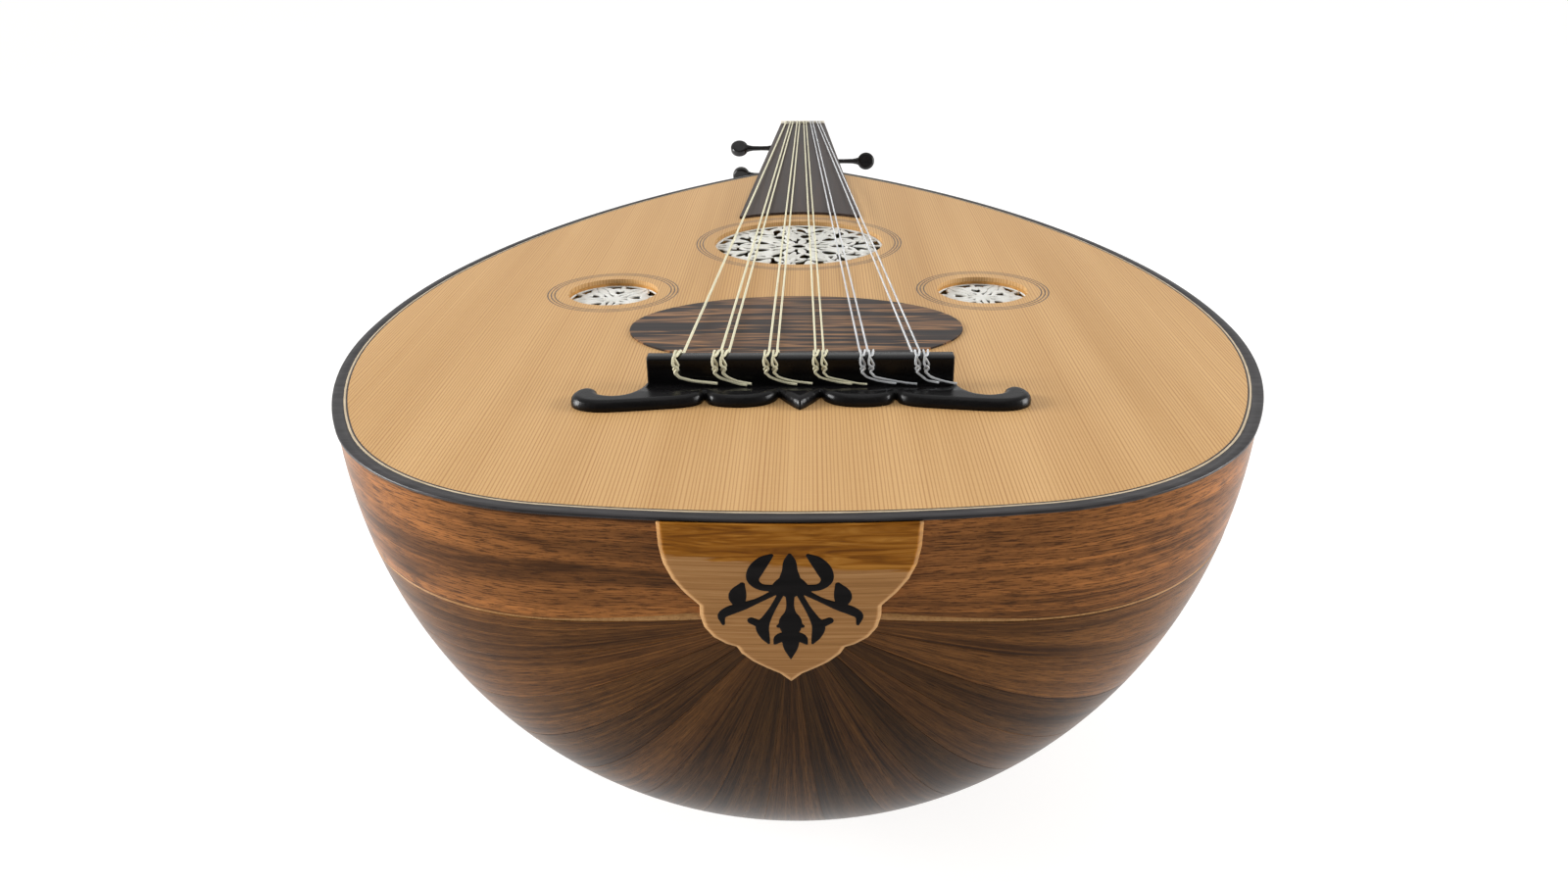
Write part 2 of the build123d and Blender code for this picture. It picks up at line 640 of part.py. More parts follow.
def all_nodes():
    nodes = {}
    ribs, strips = bowl_ribs()
    for index, rib in enumerate(ribs):
        nodes[f"rib_{index + 1:02d}"] = [rib]
    nodes["rim_strips"] = strips
    nodes["neck_block"] = [neck_block()]
    nodes["tail_block"] = [tail_block()]
    nodes["soundboard_left"], nodes["soundboard_right"] = [[half] for half in soundboards()]
    nodes["binding"] = [binding()]
    nodes["purfling"] = [purfling()]
    nodes["braces"] = braces()
    nodes["main_rose"] = [pierced_rose(MAIN_HOLE_RADIUS, rose_places()[0], 24)]
    nodes["side_roses"] = [pierced_rose(SIDE_HOLE_RADIUS, place, 15) for place in rose_places()[1:]]
    nodes["main_rose_ring"] = main_ring()
    nodes["side_rose_rings"] = side_rings()
    nodes["pickguard"] = [pickguard()]
    nodes["neck"] = [neck()]
    nodes["fingerboard"] = [fingerboard()]
    nodes["nut"] = [nut()]
    nodes["bridge"] = [bridge()]
    clasp, inlay = clasp_parts()
    nodes["tail_clasp"] = [clasp]
    nodes["clasp_inlay"] = [inlay]
    for name, side in (("left", -1), ("right", 1)):
        nodes[f"pegbox_cheek_{name}"] = [pegbox_place() * pegbox_cheek(side)]
    nodes["pegbox_back"] = [pegbox_place() * pegbox_back()]
    nodes["pegbox_root_block"] = [pegbox_place() * pegbox_block(0, 9, 5)]
    nodes["pegbox_end_block"] = [pegbox_place() * pegbox_block(PEGBOX_LENGTH - 9, PEGBOX_LENGTH, 0)]
    nodes["pegbox_finial"] = [pegbox_place() * pegbox_finial()]
    for side, number, s in peg_list():
        nodes[peg_name(side, number)] = [peg(side, number, s)]
    for index, course in enumerate(string_courses()):
        nodes[f"strings_course_{index + 1}"] = course
    return nodes


def main():
    nodes = all_nodes()
    tip = Rot(-resting_tilt(), 0, 0)
    tipped = {name: [tip * solid for solid in solids] for name, solids in nodes.items()}
    box = Compound([shape for shapes in tipped.values() for shape in shapes]).bounding_box()
    shift = Pos(-(box.min.X + box.max.X) / 2, -(box.min.Y + box.max.Y) / 2, -box.min.Z)
    os.makedirs("parts", exist_ok=True)
    for name, shapes in tipped.items():
        placed = [solid for shape in shapes for solid in (shift * shape).solids()]
        export_step(placed[0] if len(placed) == 1 else Compound(placed), f"parts/{name}.step")
    print("tilt", resting_tilt(), "shift", shift.position, "box", box.size)
    for side, number, s in peg_list():
        axis_point = (shift * tip * pegbox_place() * Pos(0, s, -PEG_DEPTH)).position
        print(peg_name(side, number), axis_point)


main()
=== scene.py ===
import json
import math

import bmesh
import bpy
import numpy as np
from mathutils import Matrix, Vector


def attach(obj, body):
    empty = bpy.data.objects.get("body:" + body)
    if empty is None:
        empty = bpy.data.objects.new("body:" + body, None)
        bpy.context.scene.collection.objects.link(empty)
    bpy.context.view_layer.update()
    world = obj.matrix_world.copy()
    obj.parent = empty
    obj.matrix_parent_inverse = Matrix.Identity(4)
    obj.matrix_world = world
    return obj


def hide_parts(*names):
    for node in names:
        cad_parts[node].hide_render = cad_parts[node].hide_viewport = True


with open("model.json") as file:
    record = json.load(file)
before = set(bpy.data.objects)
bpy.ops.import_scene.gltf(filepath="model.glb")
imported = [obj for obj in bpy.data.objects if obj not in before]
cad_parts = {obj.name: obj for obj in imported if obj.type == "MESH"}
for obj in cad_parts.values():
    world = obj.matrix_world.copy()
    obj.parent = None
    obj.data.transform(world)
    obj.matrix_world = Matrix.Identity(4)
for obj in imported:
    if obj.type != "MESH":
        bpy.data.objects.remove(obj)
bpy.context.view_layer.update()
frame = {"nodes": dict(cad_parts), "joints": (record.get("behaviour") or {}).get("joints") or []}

# Shapes are worked out in millimetres in the instrument's own frame: X across, Y from the tail edge
# towards the pegs, Z up from the playing face. TO_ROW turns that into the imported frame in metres.
MM = 0.001
BODY_LENGTH = 498.0
NUT_Y = 693.0
NECK_END_Y = 697.0
NECK_TOP = -2.5
NECK_WIDTH_BODY = 55.9
NECK_WIDTH_NUT = 36.2
BRIDGE_Y = 108.0
BRIDGE_FRONT_Y = 101.0
BRIDGE_TOP = 12.4
BRIDGE_HALF_LENGTH = 56.5
PLATE_THICKNESS = 4.0
STRING_HOLE_Z = 7.5

# Radius and end heading in degrees of each arc of the half outline, from the tail to the neck.
OUTLINE_ARCS = ((490.0, 9.0), (108.0, 63.0), (241.0, 90.0), (354.0, 105.8), (488.0, None))
DEPTH_FACTOR = 1.07
ORNAMENT_SPREAD = 1.08
HOLE_RADIUS = 0.95
RIB_THICKNESS = 2.6
RIB_COUNT = 17
RIM_ANGLE = 5.0
RIB_LINE_TAIL = 33.0
RIB_LINE_NECK = 3.0
RIB_TIP_RADIUS = 8.0
STRIP_WIDTH = 0.8
RIB_TOP_Z = -1.0
GRAIN_SHIFT = 61.0

PEGBOX_BEND = math.radians(55.0)
PEG_PITCH = 32.0
PEG_DEPTH = 8.5
FIRST_PEG = {"left": 15.0, "right": 31.0}
PEG_COUNT = {"left": 6, "right": 5}
PEGBOX_HALF_ROOT = 18.4
PEGBOX_HALF_END = 11.2
PEGBOX_LENGTH = 200.0
WINDING_RADIUS = 4.0

# Each rose: X, Y, radius and the Z of its top.
MAIN_ROSE = (0.0, 315.4, 45.0, -2.3)
SIDE_ROSES = {"left": (-86.1, 225.7, 20.8, -3.4), "right": (86.1, 225.7, 20.8, -3.4)}

STRING_RADIUS = 0.45
NUT_STRING_Z = 2.9
COURSE_X_BRIDGE = (-45.4, -29.4, -10.6, 7.5, 24.7, 44.8)
COURSE_X_NUT = (-13.6, -9.0, -3.6, 1.8, 7.2, 12.55)
PAIR_GAP_BRIDGE = 3.1
BRIDGE_X = 2.4
PAIR_GAP_NUT = 2.1
WOUND_STRINGS = 7
WINDING_PITCH = 0.6


def pegbox_point(x, along, out):
    """A point given across, down the bent-back pegbox, and out of its open side."""
    y = NECK_END_Y + along * math.cos(PEGBOX_BEND) + out * math.sin(PEGBOX_BEND)
    z = NECK_TOP - along * math.sin(PEGBOX_BEND) + out * math.cos(PEGBOX_BEND)
    return Vector((x, y, z))


def row_transform():
    """The resting tilt and place, read from where the frame holds the first and last left pegs."""
    pegs = {joint["name"]: Vector(joint["pos_m"]) for joint in frame["joints"]}
    first = pegs["peg_left_1_turn"]
    last = pegs["peg_left_6_turn"]
    tilt = math.atan2(first.z - last.z, last.y - first.y) - PEGBOX_BEND
    turn = Matrix.Rotation(-tilt, 4, "X") @ Matrix.Scale(MM, 4)
    local = turn @ pegbox_point(0, FIRST_PEG["left"], -PEG_DEPTH)
    return Matrix.Translation(first - local) @ turn


TO_ROW = row_transform()


# ---- camera, light and floor ----
def make_camera():
    """The photographer's view: above the tail, looking along the neck."""
    pitch, yaw, roll = math.radians(24.26), math.radians(-1.46), math.radians(-0.74)
    place = Vector((6.42, -301.9, 160.9))
    aim = Matrix.Rotation(-yaw, 4, "Z") @ Matrix.Rotation(math.pi / 2 - pitch, 4, "X")
    turn = aim @ Matrix.Rotation(roll, 4, "Z")
    data = bpy.data.cameras.new("camera")
    data.sensor_width = 36.0
    data.lens = 26.903
    data.clip_start = 0.01
    data.clip_end = 50
    camera = bpy.data.objects.new("camera", data)
    bpy.context.scene.collection.objects.link(camera)
    unscaled = TO_ROW.to_3x3() * (1 / MM)
    camera.matrix_world = Matrix.Translation(TO_ROW @ place) @ unscaled.to_4x4() @ turn
    bpy.context.scene.camera = camera


def area_light(name, place, target, size, power):
    data = bpy.data.lights.new(name, "AREA")
    data.shape = "RECTANGLE"
    data.size, data.size_y = size
    data.energy = power
    light = bpy.data.objects.new(name, data)
    light.location = place
    light.rotation_euler = (Vector(target) - Vector(place)).to_track_quat("-Z", "Y").to_euler()
    bpy.context.scene.collection.objects.link(light)


def make_light():
    """Soft studio: a white backdrop for the camera, a room that brightens along Y, a key and two sides."""
    world = bpy.data.worlds.new("studio")
    world.use_nodes = True
    tree = world.node_tree
    room = tree.nodes["Background"]
    backdrop = tree.nodes.new("ShaderNodeBackground")
    direction = tree.nodes.new("ShaderNodeTexCoord")
    split = tree.nodes.new("ShaderNodeSeparateXYZ")
    spread = tree.nodes.new("ShaderNodeMapRange")
    path = tree.nodes.new("ShaderNodeLightPath")
    blend = tree.nodes.new("ShaderNodeMixShader")
    for key, value in (("From Min", -0.85), ("From Max", 0.45), ("To Min", 0.18), ("To Max", 0.86)):
        spread.inputs[key].default_value = value
    for shade in (room, backdrop):
        shade.inputs["Color"].default_value = (1, 1, 1, 1)
    for source, socket in (
            (direction.outputs["Generated"], split.inputs["Vector"]),
            (split.outputs["Y"], spread.inputs["Value"]), (spread.outputs["Result"], room.inputs["Strength"]),
            (path.outputs["Is Camera Ray"], blend.inputs["Fac"]),
            (room.outputs[0], blend.inputs[1]), (backdrop.outputs[0], blend.inputs[2]),
            (blend.outputs[0], tree.nodes["World Output"].inputs["Surface"])):
        tree.links.new(source, socket)
    bpy.context.scene.world = world
    area_light("key", (0.1, -0.2, 1.8), (0, -0.15, 0.1), (1.3, 1.1), 2.5)
    area_light("side_left", (-1.7, -0.30, 0.45), (0, -0.3, 0.10), (0.7, 1.2), 66)
    area_light("side_right", (1.7, -0.30, 0.45), (0, -0.3, 0.10), (0.7, 1.2), 42)
    bpy.context.scene.view_settings.view_transform = "Standard"


def make_floor():
    """A plain pale sheet under the oud."""
    bpy.ops.mesh.primitive_plane_add(size=12, location=(0, 0, 0))
    floor = bpy.context.object
    floor.name = "floor"
    material = bpy.data.materials.new("floor_white")
    material.use_nodes = True
    shader = material.node_tree.nodes["Principled BSDF"]
    shader.inputs["Base Color"].default_value = (0.34, 0.335, 0.33, 1)
    shader.inputs["Emission Color"].default_value = (1.0, 0.99, 0.98, 1)
    shader.inputs["Emission Strength"].default_value = 0.76
    shader.inputs["Roughness"].default_value = 0.8
    floor.data.materials.append(material)


# ---- materials ----
class Nodes:
    """A short way to lay out a material's nodes."""

    def __init__(self, name):
        self.material = bpy.data.materials.new(name)
        self.material.use_nodes = True
        self.tree = self.material.node_tree
        self.shader = self.tree.nodes["Principled BSDF"]

    def feed(self, socket, value):
        """Links a socket to another one, or sets its number or colour."""
        if isinstance(value, bpy.types.NodeSocket):
            self.tree.links.new(value, socket)
        elif socket.type == "RGBA":
            socket.default_value = (*value, 1)
        else:
            socket.default_value = value

    def add(self, kind, **settings):
        """A node with its inputs fed and its properties set."""
        node = self.tree.nodes.new(kind)
        for key, value in settings.items():
            if key in node.inputs:
                self.feed(node.inputs[key], value)
            else:
                setattr(node, key, value)
        return node

    def place(self, scale, offset=(0, 0, 0), uv=False):
        """Stretched coordinates in metres, along the object's own axes or its grain map."""
        source = self.add("ShaderNodeTexCoord").outputs["UV" if uv else "Object"]
        return self.add("ShaderNodeMapping", Vector=source, Scale=scale, Location=offset).outputs[0]

    def axes(self):
        """X, Y and Z along the object's own axes."""
        source = self.add("ShaderNodeTexCoord").outputs["Object"]
        return self.add("ShaderNodeSeparateXYZ", Vector=source).outputs

    def noise(self, vector, detail=4.0, rough=0.5, distortion=0.0, scale=1.0):
        node = self.add("ShaderNodeTexNoise", Vector=vector, Scale=scale, Detail=detail, Roughness=rough,
                        Distortion=distortion)
        return node.outputs["Fac"]

    def ramp(self, value, stops):
        """Colours or greys along a value: stops are (place, colour)."""
        node = self.add("ShaderNodeValToRGB", Fac=value)
        elements = node.color_ramp.elements
        while len(elements) < len(stops):
            elements.new(0.5)
        for element, (place, colour) in zip(elements, stops):
            element.position = place
            element.color = (*colour, 1) if isinstance(colour, tuple) else (colour, colour, colour, 1)
        return node.outputs["Color"]

    def mix(self, factor, first, second):
        """One colour over another; each input is a socket or a value."""
        node = self.add("ShaderNodeMix", data_type="RGBA")
        for index, value in ((0, factor), (6, first), (7, second)):
            self.feed(node.inputs[index], value)
        return node.outputs[2]

    def maths(self, operation, first, second=0.0):
        """One sum of sockets or numbers."""
        node = self.add("ShaderNodeMath", operation=operation)
        self.feed(node.inputs[0], first)
        self.feed(node.inputs[1], second)
        return node.outputs[0]

    def finish(self, colour, rough, bump, height, coat=0.0, specular=0.08):
        """Links the colour, roughness and fine relief, and returns the material."""
        self.shader.inputs["Specular IOR Level"].default_value = specular
        self.shader.inputs["Coat Weight"].default_value = coat
        self.shader.inputs["Coat Roughness"].default_value = 0.06
        relief = self.add("ShaderNodeBump", Height=bump, Distance=height, Strength=1.0).outputs["Normal"]
        for key, source in (("Base Color", colour), ("Roughness", rough), ("Normal", relief)):
            self.feed(self.shader.inputs[key], source)
        return self.material


def soundboard_material():
    """Satin tan softwood: close straight grain lines along Y, mirrored at the centre seam, cross silk."""
    n = Nodes("soundboard_softwood")
    mirrored = n.maths("ABSOLUTE", n.axes()["X"])
    bend = n.noise(n.place((6, 1.2, 0)), 2)
    across = n.maths("ADD", mirrored, n.maths("MULTIPLY", bend, 0.0035))
    lined = n.add("ShaderNodeCombineXYZ", X=across).outputs[0]
    wobble = n.noise(lined, 3, scale=130.0)
    lines = n.add("ShaderNodeTexWave", Vector=lined, wave_type="BANDS", bands_direction="X",
                  wave_profile="SIN", Scale=245.0, Distortion=6.0, Detail=1.5)
    lines.inputs["Detail Scale"].default_value = 0.7
    sharp = n.ramp(lines.outputs["Fac"], [(0.0, 0.0), (0.62, 0.05), (1.0, 1.0)])
    broad = n.noise(n.place((38, 2.2, 0)), 3)
    silk = n.noise(n.place((60, 900, 0)), 3, 0.7)
    base = n.ramp(broad, [(0.3, (0.475, 0.270, 0.098)), (0.7, (0.580, 0.355, 0.152))])
    strength = n.maths("MULTIPLY", sharp, n.maths("ADD", 0.16, n.maths("MULTIPLY", wobble, 0.85)))
    lined_colour = n.mix(strength, base, (0.300, 0.120, 0.034))
    colour = n.mix(n.maths("MULTIPLY", silk, 0.10), lined_colour, (0.80, 0.60, 0.36))
    rough = n.ramp(broad, [(0.0, 0.42), (1.0, 0.52)])
    return n.finish(colour, rough, sharp, 0.00003, specular=0.14)


def rib_material(name, tone_and_light, warm):
    """Glossy walnut rib: streaks and open pores along the rib, with a warmer cast on some boards; its
    brightness is partly the walnut's own tone and partly painted light on the rim ribs and painted shade on
    the middle ribs.
    """
    n = Nodes(name)
    streaks = n.noise(n.place((2.6, 380, 1), uv=True), 5, 0.62, 0.4)
    figure = n.noise(n.place((7, 55, 1), (3, 7, 0), uv=True), 3, 0.55, 1.2)
    pores = n.noise(n.place((120, 1900, 1), uv=True), 3, 0.7)
    # The three colours are scaled by the rib's brightness: painted light on the rim ribs, painted shade on
    # the middle ones, besides the walnut's own tone.
    dark = tuple(value * tone_and_light for value in (0.017, 0.0068, 0.0024))
    middle = tuple(value * tone_and_light for value in (0.070, 0.0270, 0.0078))
    light = tuple(value * tone_and_light for value in (0.185 * warm, 0.076, 0.0200))
    body = n.ramp(streaks, [(0.34, dark), (0.5, middle), (0.66, light)])
    patch = n.noise(n.place((4, 16, 1), (1, 5, 0), uv=True), 3, 0.6, 0.8)
    mottled = n.mix(n.ramp(patch, [(0.38, 0.62), (0.62, 0.0)]), body, dark)
    cloudy = n.mix(n.ramp(figure, [(0.38, 0.0), (0.68, 0.6)]), mottled, light)
    pore_mask = n.ramp(pores, [(0.42, 1.0), (0.50, 0.0)])
    colour = n.mix(n.maths("MULTIPLY", pore_mask, 0.8), cloudy, dark)
    rough = n.ramp(streaks, [(0.0, 0.34), (1.0, 0.24)])
    return n.finish(colour, rough, pores, 0.00004, coat=0.03, specular=0.05)


def plain_wood(name, dark, light, along="Y", fine=420.0, rough=(0.35, 0.5)):
    """A straight-grained wood on the object's own axes, grain along one of them."""
    n = Nodes(name)
    scales = (4, fine, fine) if along == "X" else (fine, 4, fine)
    wide = tuple(value * 0.12 if value == fine else value * 0.6 for value in scales)
    streaks = n.noise(n.place(scales), 4, 0.6, 0.2)
    broad = n.noise(n.place(wide), 3, 0.5, 0.6)
    pores = n.noise(n.place(tuple(value * 4 for value in scales)), 2, 0.6)
    body = n.mix(n.ramp(streaks, [(0.3, 0.0), (0.7, 1.0)]), dark, light)
    shaded = n.mix(n.ramp(broad, [(0.3, 0.0), (0.75, 0.6)]), body, dark)
    darker = tuple(value * 0.45 for value in dark)
    colour = n.mix(n.maths("MULTIPLY", n.ramp(pores, [(0.3, 1.0), (0.42, 0.0)]), 0.5), shaded, darker)
    roughness = n.ramp(streaks, [(0.2, rough[0]), (0.8, rough[1])])
    return n.finish(colour, roughness, pores, 0.00003)


def macassar_material():
    """Striped ebony: black and brown bands across the oud."""
    n = Nodes("striped_ebony")
    wander = n.noise(n.place((5, 9, 0)), 2)
    axes = n.axes()
    level = n.maths("ADD", axes["Y"], n.maths("MULTIPLY", wander, 0.006))
    banded = n.add("ShaderNodeCombineXYZ", Y=level, X=n.maths("MULTIPLY", axes["X"], 0.05))
    stripes = n.noise(banded.outputs[0], 2, 0.65, scale=210.0)
    fine = n.noise(n.place((12, 1500, 0)), 3, 0.6)
    bands = n.ramp(stripes, [(0.38, (0.016, 0.012, 0.011)), (0.49, (0.040, 0.024, 0.018)),
                             (0.54, (0.330, 0.165, 0.070)), (0.59, (0.055, 0.034, 0.024)),
                             (0.68, (0.230, 0.110, 0.050))])
    colour = n.mix(n.ramp(fine, [(0.3, 0.45), (0.6, 0.0)]), bands, (0.018, 0.014, 0.013))
    return n.finish(colour, n.ramp(fine, [(0.0, 0.34), (1.0, 0.46)]), fine, 0.00003, specular=0.12)


def ebony_material(name, colour=(0.0065, 0.0060, 0.0062), rough=(0.24, 0.40), specular=0.25):
    """Black wood with faint brown streaks and a soft polish."""
    n = Nodes(name)
    streaks = n.noise(n.place((40, 420, 420)), 4, 0.6)
    wear = n.noise(n.place((90, 90, 90)), 3, 0.6)
    brown = tuple(value * 2.6 for value in colour)
    body = n.ramp(streaks, [(0.35, colour), (0.8, brown)])
    polish = n.ramp(wear, [(0.25, rough[0]), (0.75, rough[1])])
    return n.finish(body, polish, streaks, 0.00002, specular=specular)


def bone_material(name, light, dark, rough=0.42):
    """Pale bone with faint clouding and fine striae."""
    n = Nodes(name)
    cloud = n.noise(n.place((120, 120, 120)), 4, 0.6)
    striae = n.noise(n.place((900, 160, 900)), 3, 0.6)
    body = n.ramp(cloud, [(0.3, dark), (0.65, light)])
    colour = n.mix(n.ramp(striae, [(0.35, 0.2), (0.6, 0.0)]), body, dark)
    return n.finish(colour, n.ramp(cloud, [(0.0, rough - 0.06), (1.0, rough + 0.08)]), striae, 0.00002)


def clasp_material():
    """Light brown tail clasp: fine grain across, an amber band at the top, and a painted highlight that makes
    the bevelled edge paler.
    """
    n = Nodes("clasp_light_brown")
    edge = n.add("ShaderNodeAttribute", attribute_name="bevel").outputs["Fac"]
    band = n.add("ShaderNodeAttribute", attribute_name="band").outputs["Fac"]
    grain = n.noise(n.place((14, 300, 1500)), 5, 0.65, 0.3)
    fine = n.noise(n.place((60, 900, 4200)), 3, 0.7)
    wave = n.noise(n.place((30, 200, 320)), 3, 0.6, 1.6)
    body = n.ramp(grain, [(0.28, (0.225, 0.105, 0.034)), (0.5, (0.335, 0.165, 0.058)),
                          (0.72, (0.430, 0.230, 0.092))])
    amber = n.ramp(wave, [(0.34, (0.130, 0.042, 0.003)), (0.5, (0.250, 0.088, 0.007)),
                          (0.68, (0.400, 0.170, 0.026))])
    uneven = n.maths("ADD", band, n.maths("MULTIPLY", n.maths("SUBTRACT", wave, 0.5), 1.1))
    striped = n.mix(n.ramp(uneven, [(0.42, 0.0), (0.58, 1.0)]), body, amber)
    pored = n.mix(n.ramp(fine, [(0.3, 0.35), (0.45, 0.0)]), striped, (0.12, 0.055, 0.02))
    # Painted highlight: the bevelled edge is mixed towards a pale tan.
    colour = n.mix(n.maths("MULTIPLY", edge, 0.34), pored, (0.60, 0.385, 0.190))
    return n.finish(colour, n.ramp(grain, [(0.0, 0.30), (1.0, 0.42)]), fine, 0.00002, specular=0.05)


def wound_material():
    """A wound string, with the fine turns of its wrapping along its length and painted shade in the grooves
    between them.
    """
    colour, groove_shade_and_mottle = (0.72, 0.685, 0.50), (0.40, 0.38, 0.24)
    n = Nodes("wound_string")
    source = n.add("ShaderNodeTexCoord").outputs["UV"]
    # A wave texture of Scale 1 makes one band in 0.314 m.
    turns = n.add("ShaderNodeTexWave", Vector=source, wave_type="BANDS", bands_direction="X",
                  Scale=0.314 / (WINDING_PITCH * MM))
    mottled = n.noise(n.place((120, 400, 400)), 3)
    # Painted shade: the grooves between turns are darkened towards the groove colour, which also gives the
    # random darker mottling below.
    shade = n.mix(n.ramp(turns.outputs["Fac"], [(0.0, 0.55), (0.5, 0.0)]), colour, groove_shade_and_mottle)
    varied = n.mix(n.ramp(mottled, [(0.3, 0.25), (0.7, 0.0)]), shade, groove_shade_and_mottle)
    polish = n.ramp(mottled, [(0.0, 0.26), (1.0, 0.38)])
    return n.finish(varied, polish, turns.outputs["Fac"], 0.00004)


def nylon_material():
    """Clear nylon: a bright glassy thread."""
    n = Nodes("clear_nylon")
    streak = n.noise(n.place((200, 60, 200)), 3)
    body = n.ramp(streak, [(0.3, (0.62, 0.64, 0.66)), (0.7, (0.86, 0.87, 0.88))])
    n.shader.inputs["Transmission Weight"].default_value = 0.45
    n.shader.inputs["IOR"].default_value = 1.5
    return n.finish(body, n.ramp(streak, [(0.0, 0.08), (1.0, 0.18)]), streak, 0.00001)


# ---- mesh helpers ----
def new_piece(name, material, points, faces, uv=None, slot=None, replaces=(), body="root", smooth=True,
              closed=True, attributes=None):
    """A mesh from points in instrument millimetres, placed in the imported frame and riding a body.

    A closed mesh gets all its faces turned to the outside."""
    mesh = bpy.data.meshes.new(name)
    mesh.from_pydata([tuple(point) for point in points], [], [tuple(face) for face in faces])
    if uv is not None:
        layer = mesh.uv_layers.new(name="grain")
        loop_points = np.empty(len(mesh.loops), dtype=np.int32)
        mesh.loops.foreach_get("vertex_index", loop_points)
        layer.data.foreach_set("uv", np.asarray(uv, dtype=np.float32)[loop_points].ravel())
    for key, values in (attributes or {}).items():
        layer = mesh.attributes.new(key, "FLOAT", "POINT")
        layer.data.foreach_set("value", np.asarray(values, dtype=np.float32))
    mesh.transform(TO_ROW)
    mesh.validate()
    mesh.shade_smooth() if smooth else mesh.shade_flat()
    mesh.materials.append(material)
    piece = bpy.data.objects.new(name, mesh)
    bpy.context.scene.collection.objects.link(piece)
    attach(piece, body)
    if replaces:
        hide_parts(*replaces)
    if closed:
        edit = bmesh.new()
        edit.from_mesh(mesh)
        bmesh.ops.recalc_face_normals(edit, faces=edit.faces)
        edit.to_mesh(mesh)
        edit.free()
    return piece


def bevelled(piece, width, angle):
    """Soft edges from a bevel, with weighted normals so that flats stay flat."""
    bevel = piece.modifiers.new("bevel", "BEVEL")
    bevel.width = width * MM
    bevel.segments = 2
    bevel.limit_method = "ANGLE"
    bevel.angle_limit = math.radians(angle)
    bevel.harden_normals = True


def grid_faces(rows, columns, start=0, wrap=False):
    """Quads between rows of points, which may close into rings."""
    faces = []
    for row in range(start, start + (rows - 1) * columns, columns):
        for column in range(columns if wrap else columns - 1):
            a, b = row + column, row + (column + 1) % columns
            faces.append((a, b, b + columns, a + columns))
    return faces


def tube(points, radius, sides=10):
    """Points, faces and grain map of a round closed tube along a path."""
    path = [Vector(point) for point in points]
    tangents = []
    for index in range(len(path)):
        ahead = path[min(index + 1, len(path) - 1)]
        behind = path[max(index - 1, 0)]
        tangents.append((ahead - behind).normalized())
    normal = tangents[0].orthogonal().normalized()
    verts, uv, length = [], [], 0.0
    for index, (centre, tangent) in enumerate(zip(path, tangents)):
        if index:
            normal = tangents[index - 1].rotation_difference(tangent) @ normal
            length += (centre - path[index - 1]).length
        binormal = tangent.cross(normal)
        for side in range(sides):
            turn = 2 * math.pi * side / sides
            offset = normal * math.cos(turn) + binormal * math.sin(turn)
            verts.append(centre + offset * radius)
            uv.append((length * MM, side / sides * 0.003))
    return verts, capped_rings(len(path), sides), uv


def capped_rings(count, sides):
    """Faces of a run of rings with both ends closed."""
    last = (count - 1) * sides
    caps = [tuple(reversed(range(sides))), tuple(range(last, last + sides))]
    return grid_faces(count, sides, wrap=True) + caps


def joined(parts):
    """Several (points, faces, uv) lists as one."""
    verts, faces, uv = [], [], []
    for part_verts, part_faces, part_uv in parts:
        faces += [tuple(index + len(verts) for index in face) for face in part_faces]
        verts += list(part_verts)
        uv += list(part_uv)
    return verts, faces, uv


def smooth_path(points, samples=8):
    """A Catmull-Rom curve through listed points."""
    path = [Vector(point) for point in points]
    padded = [path[0] * 2 - path[1]] + path + [path[-1] * 2 - path[-2]]
    result = []
    for index in range(1, len(padded) - 2):
        before, first, second, after = padded[index - 1:index + 3]
        for step in range(samples):
            t = step / samples
            result.append(0.5 * (2 * first + (second - before) * t
                                 + (2 * before - 5 * first + 4 * second - after) * t ** 2
                                 + (3 * first - before - 3 * second + after) * t ** 3))
    result.append(path[-1])
    return result


def segment_reach(x, y, start, end):
    """How far along a segment the point nearest to each grid point is, as a share, and its distance."""
    dx, dy = end[0] - start[0], end[1] - start[1]
    share = np.clip(((x - start[0]) * dx + (y - start[1]) * dy) / (dx * dx + dy * dy + 1e-12), 0, 1)
    return share, np.hypot(x - start[0] - share * dx, y - start[1] - share * dy)


def nearest_stroke(x, y, strokes, best):
    """The smaller of a distance and those to several strokes, each a smooth curve of changing width."""
    for points, radii in strokes:
        spots = smooth_path([(*point, radius) for point, radius in zip(points, radii)], 6)
        for start, end in zip(spots, spots[1:]):
            share, reach = segment_reach(x, y, start, end)
            best = np.minimum(best, reach - (start.z + share * (end.z - start.z)))
    return best


def polygon_distance(x, y, polygon):
    """Signed distance to a closed polygon, negative inside."""
    corners = np.asarray(polygon, float)
    best = np.full(x.shape, 1e9)
    inside = np.zeros(x.shape, bool)
    for (ax, ay), (bx, by) in zip(corners, np.roll(corners, -1, axis=0)):
        best = np.minimum(best, segment_reach(x, y, (ax, ay), (bx, by))[1])
        inside ^= ((ay > y) != (by > y)) & (x < (bx - ax) * (y - ay) / ((by - ay) or 1e-12) + ax)
    return np.where(inside, -best, best)


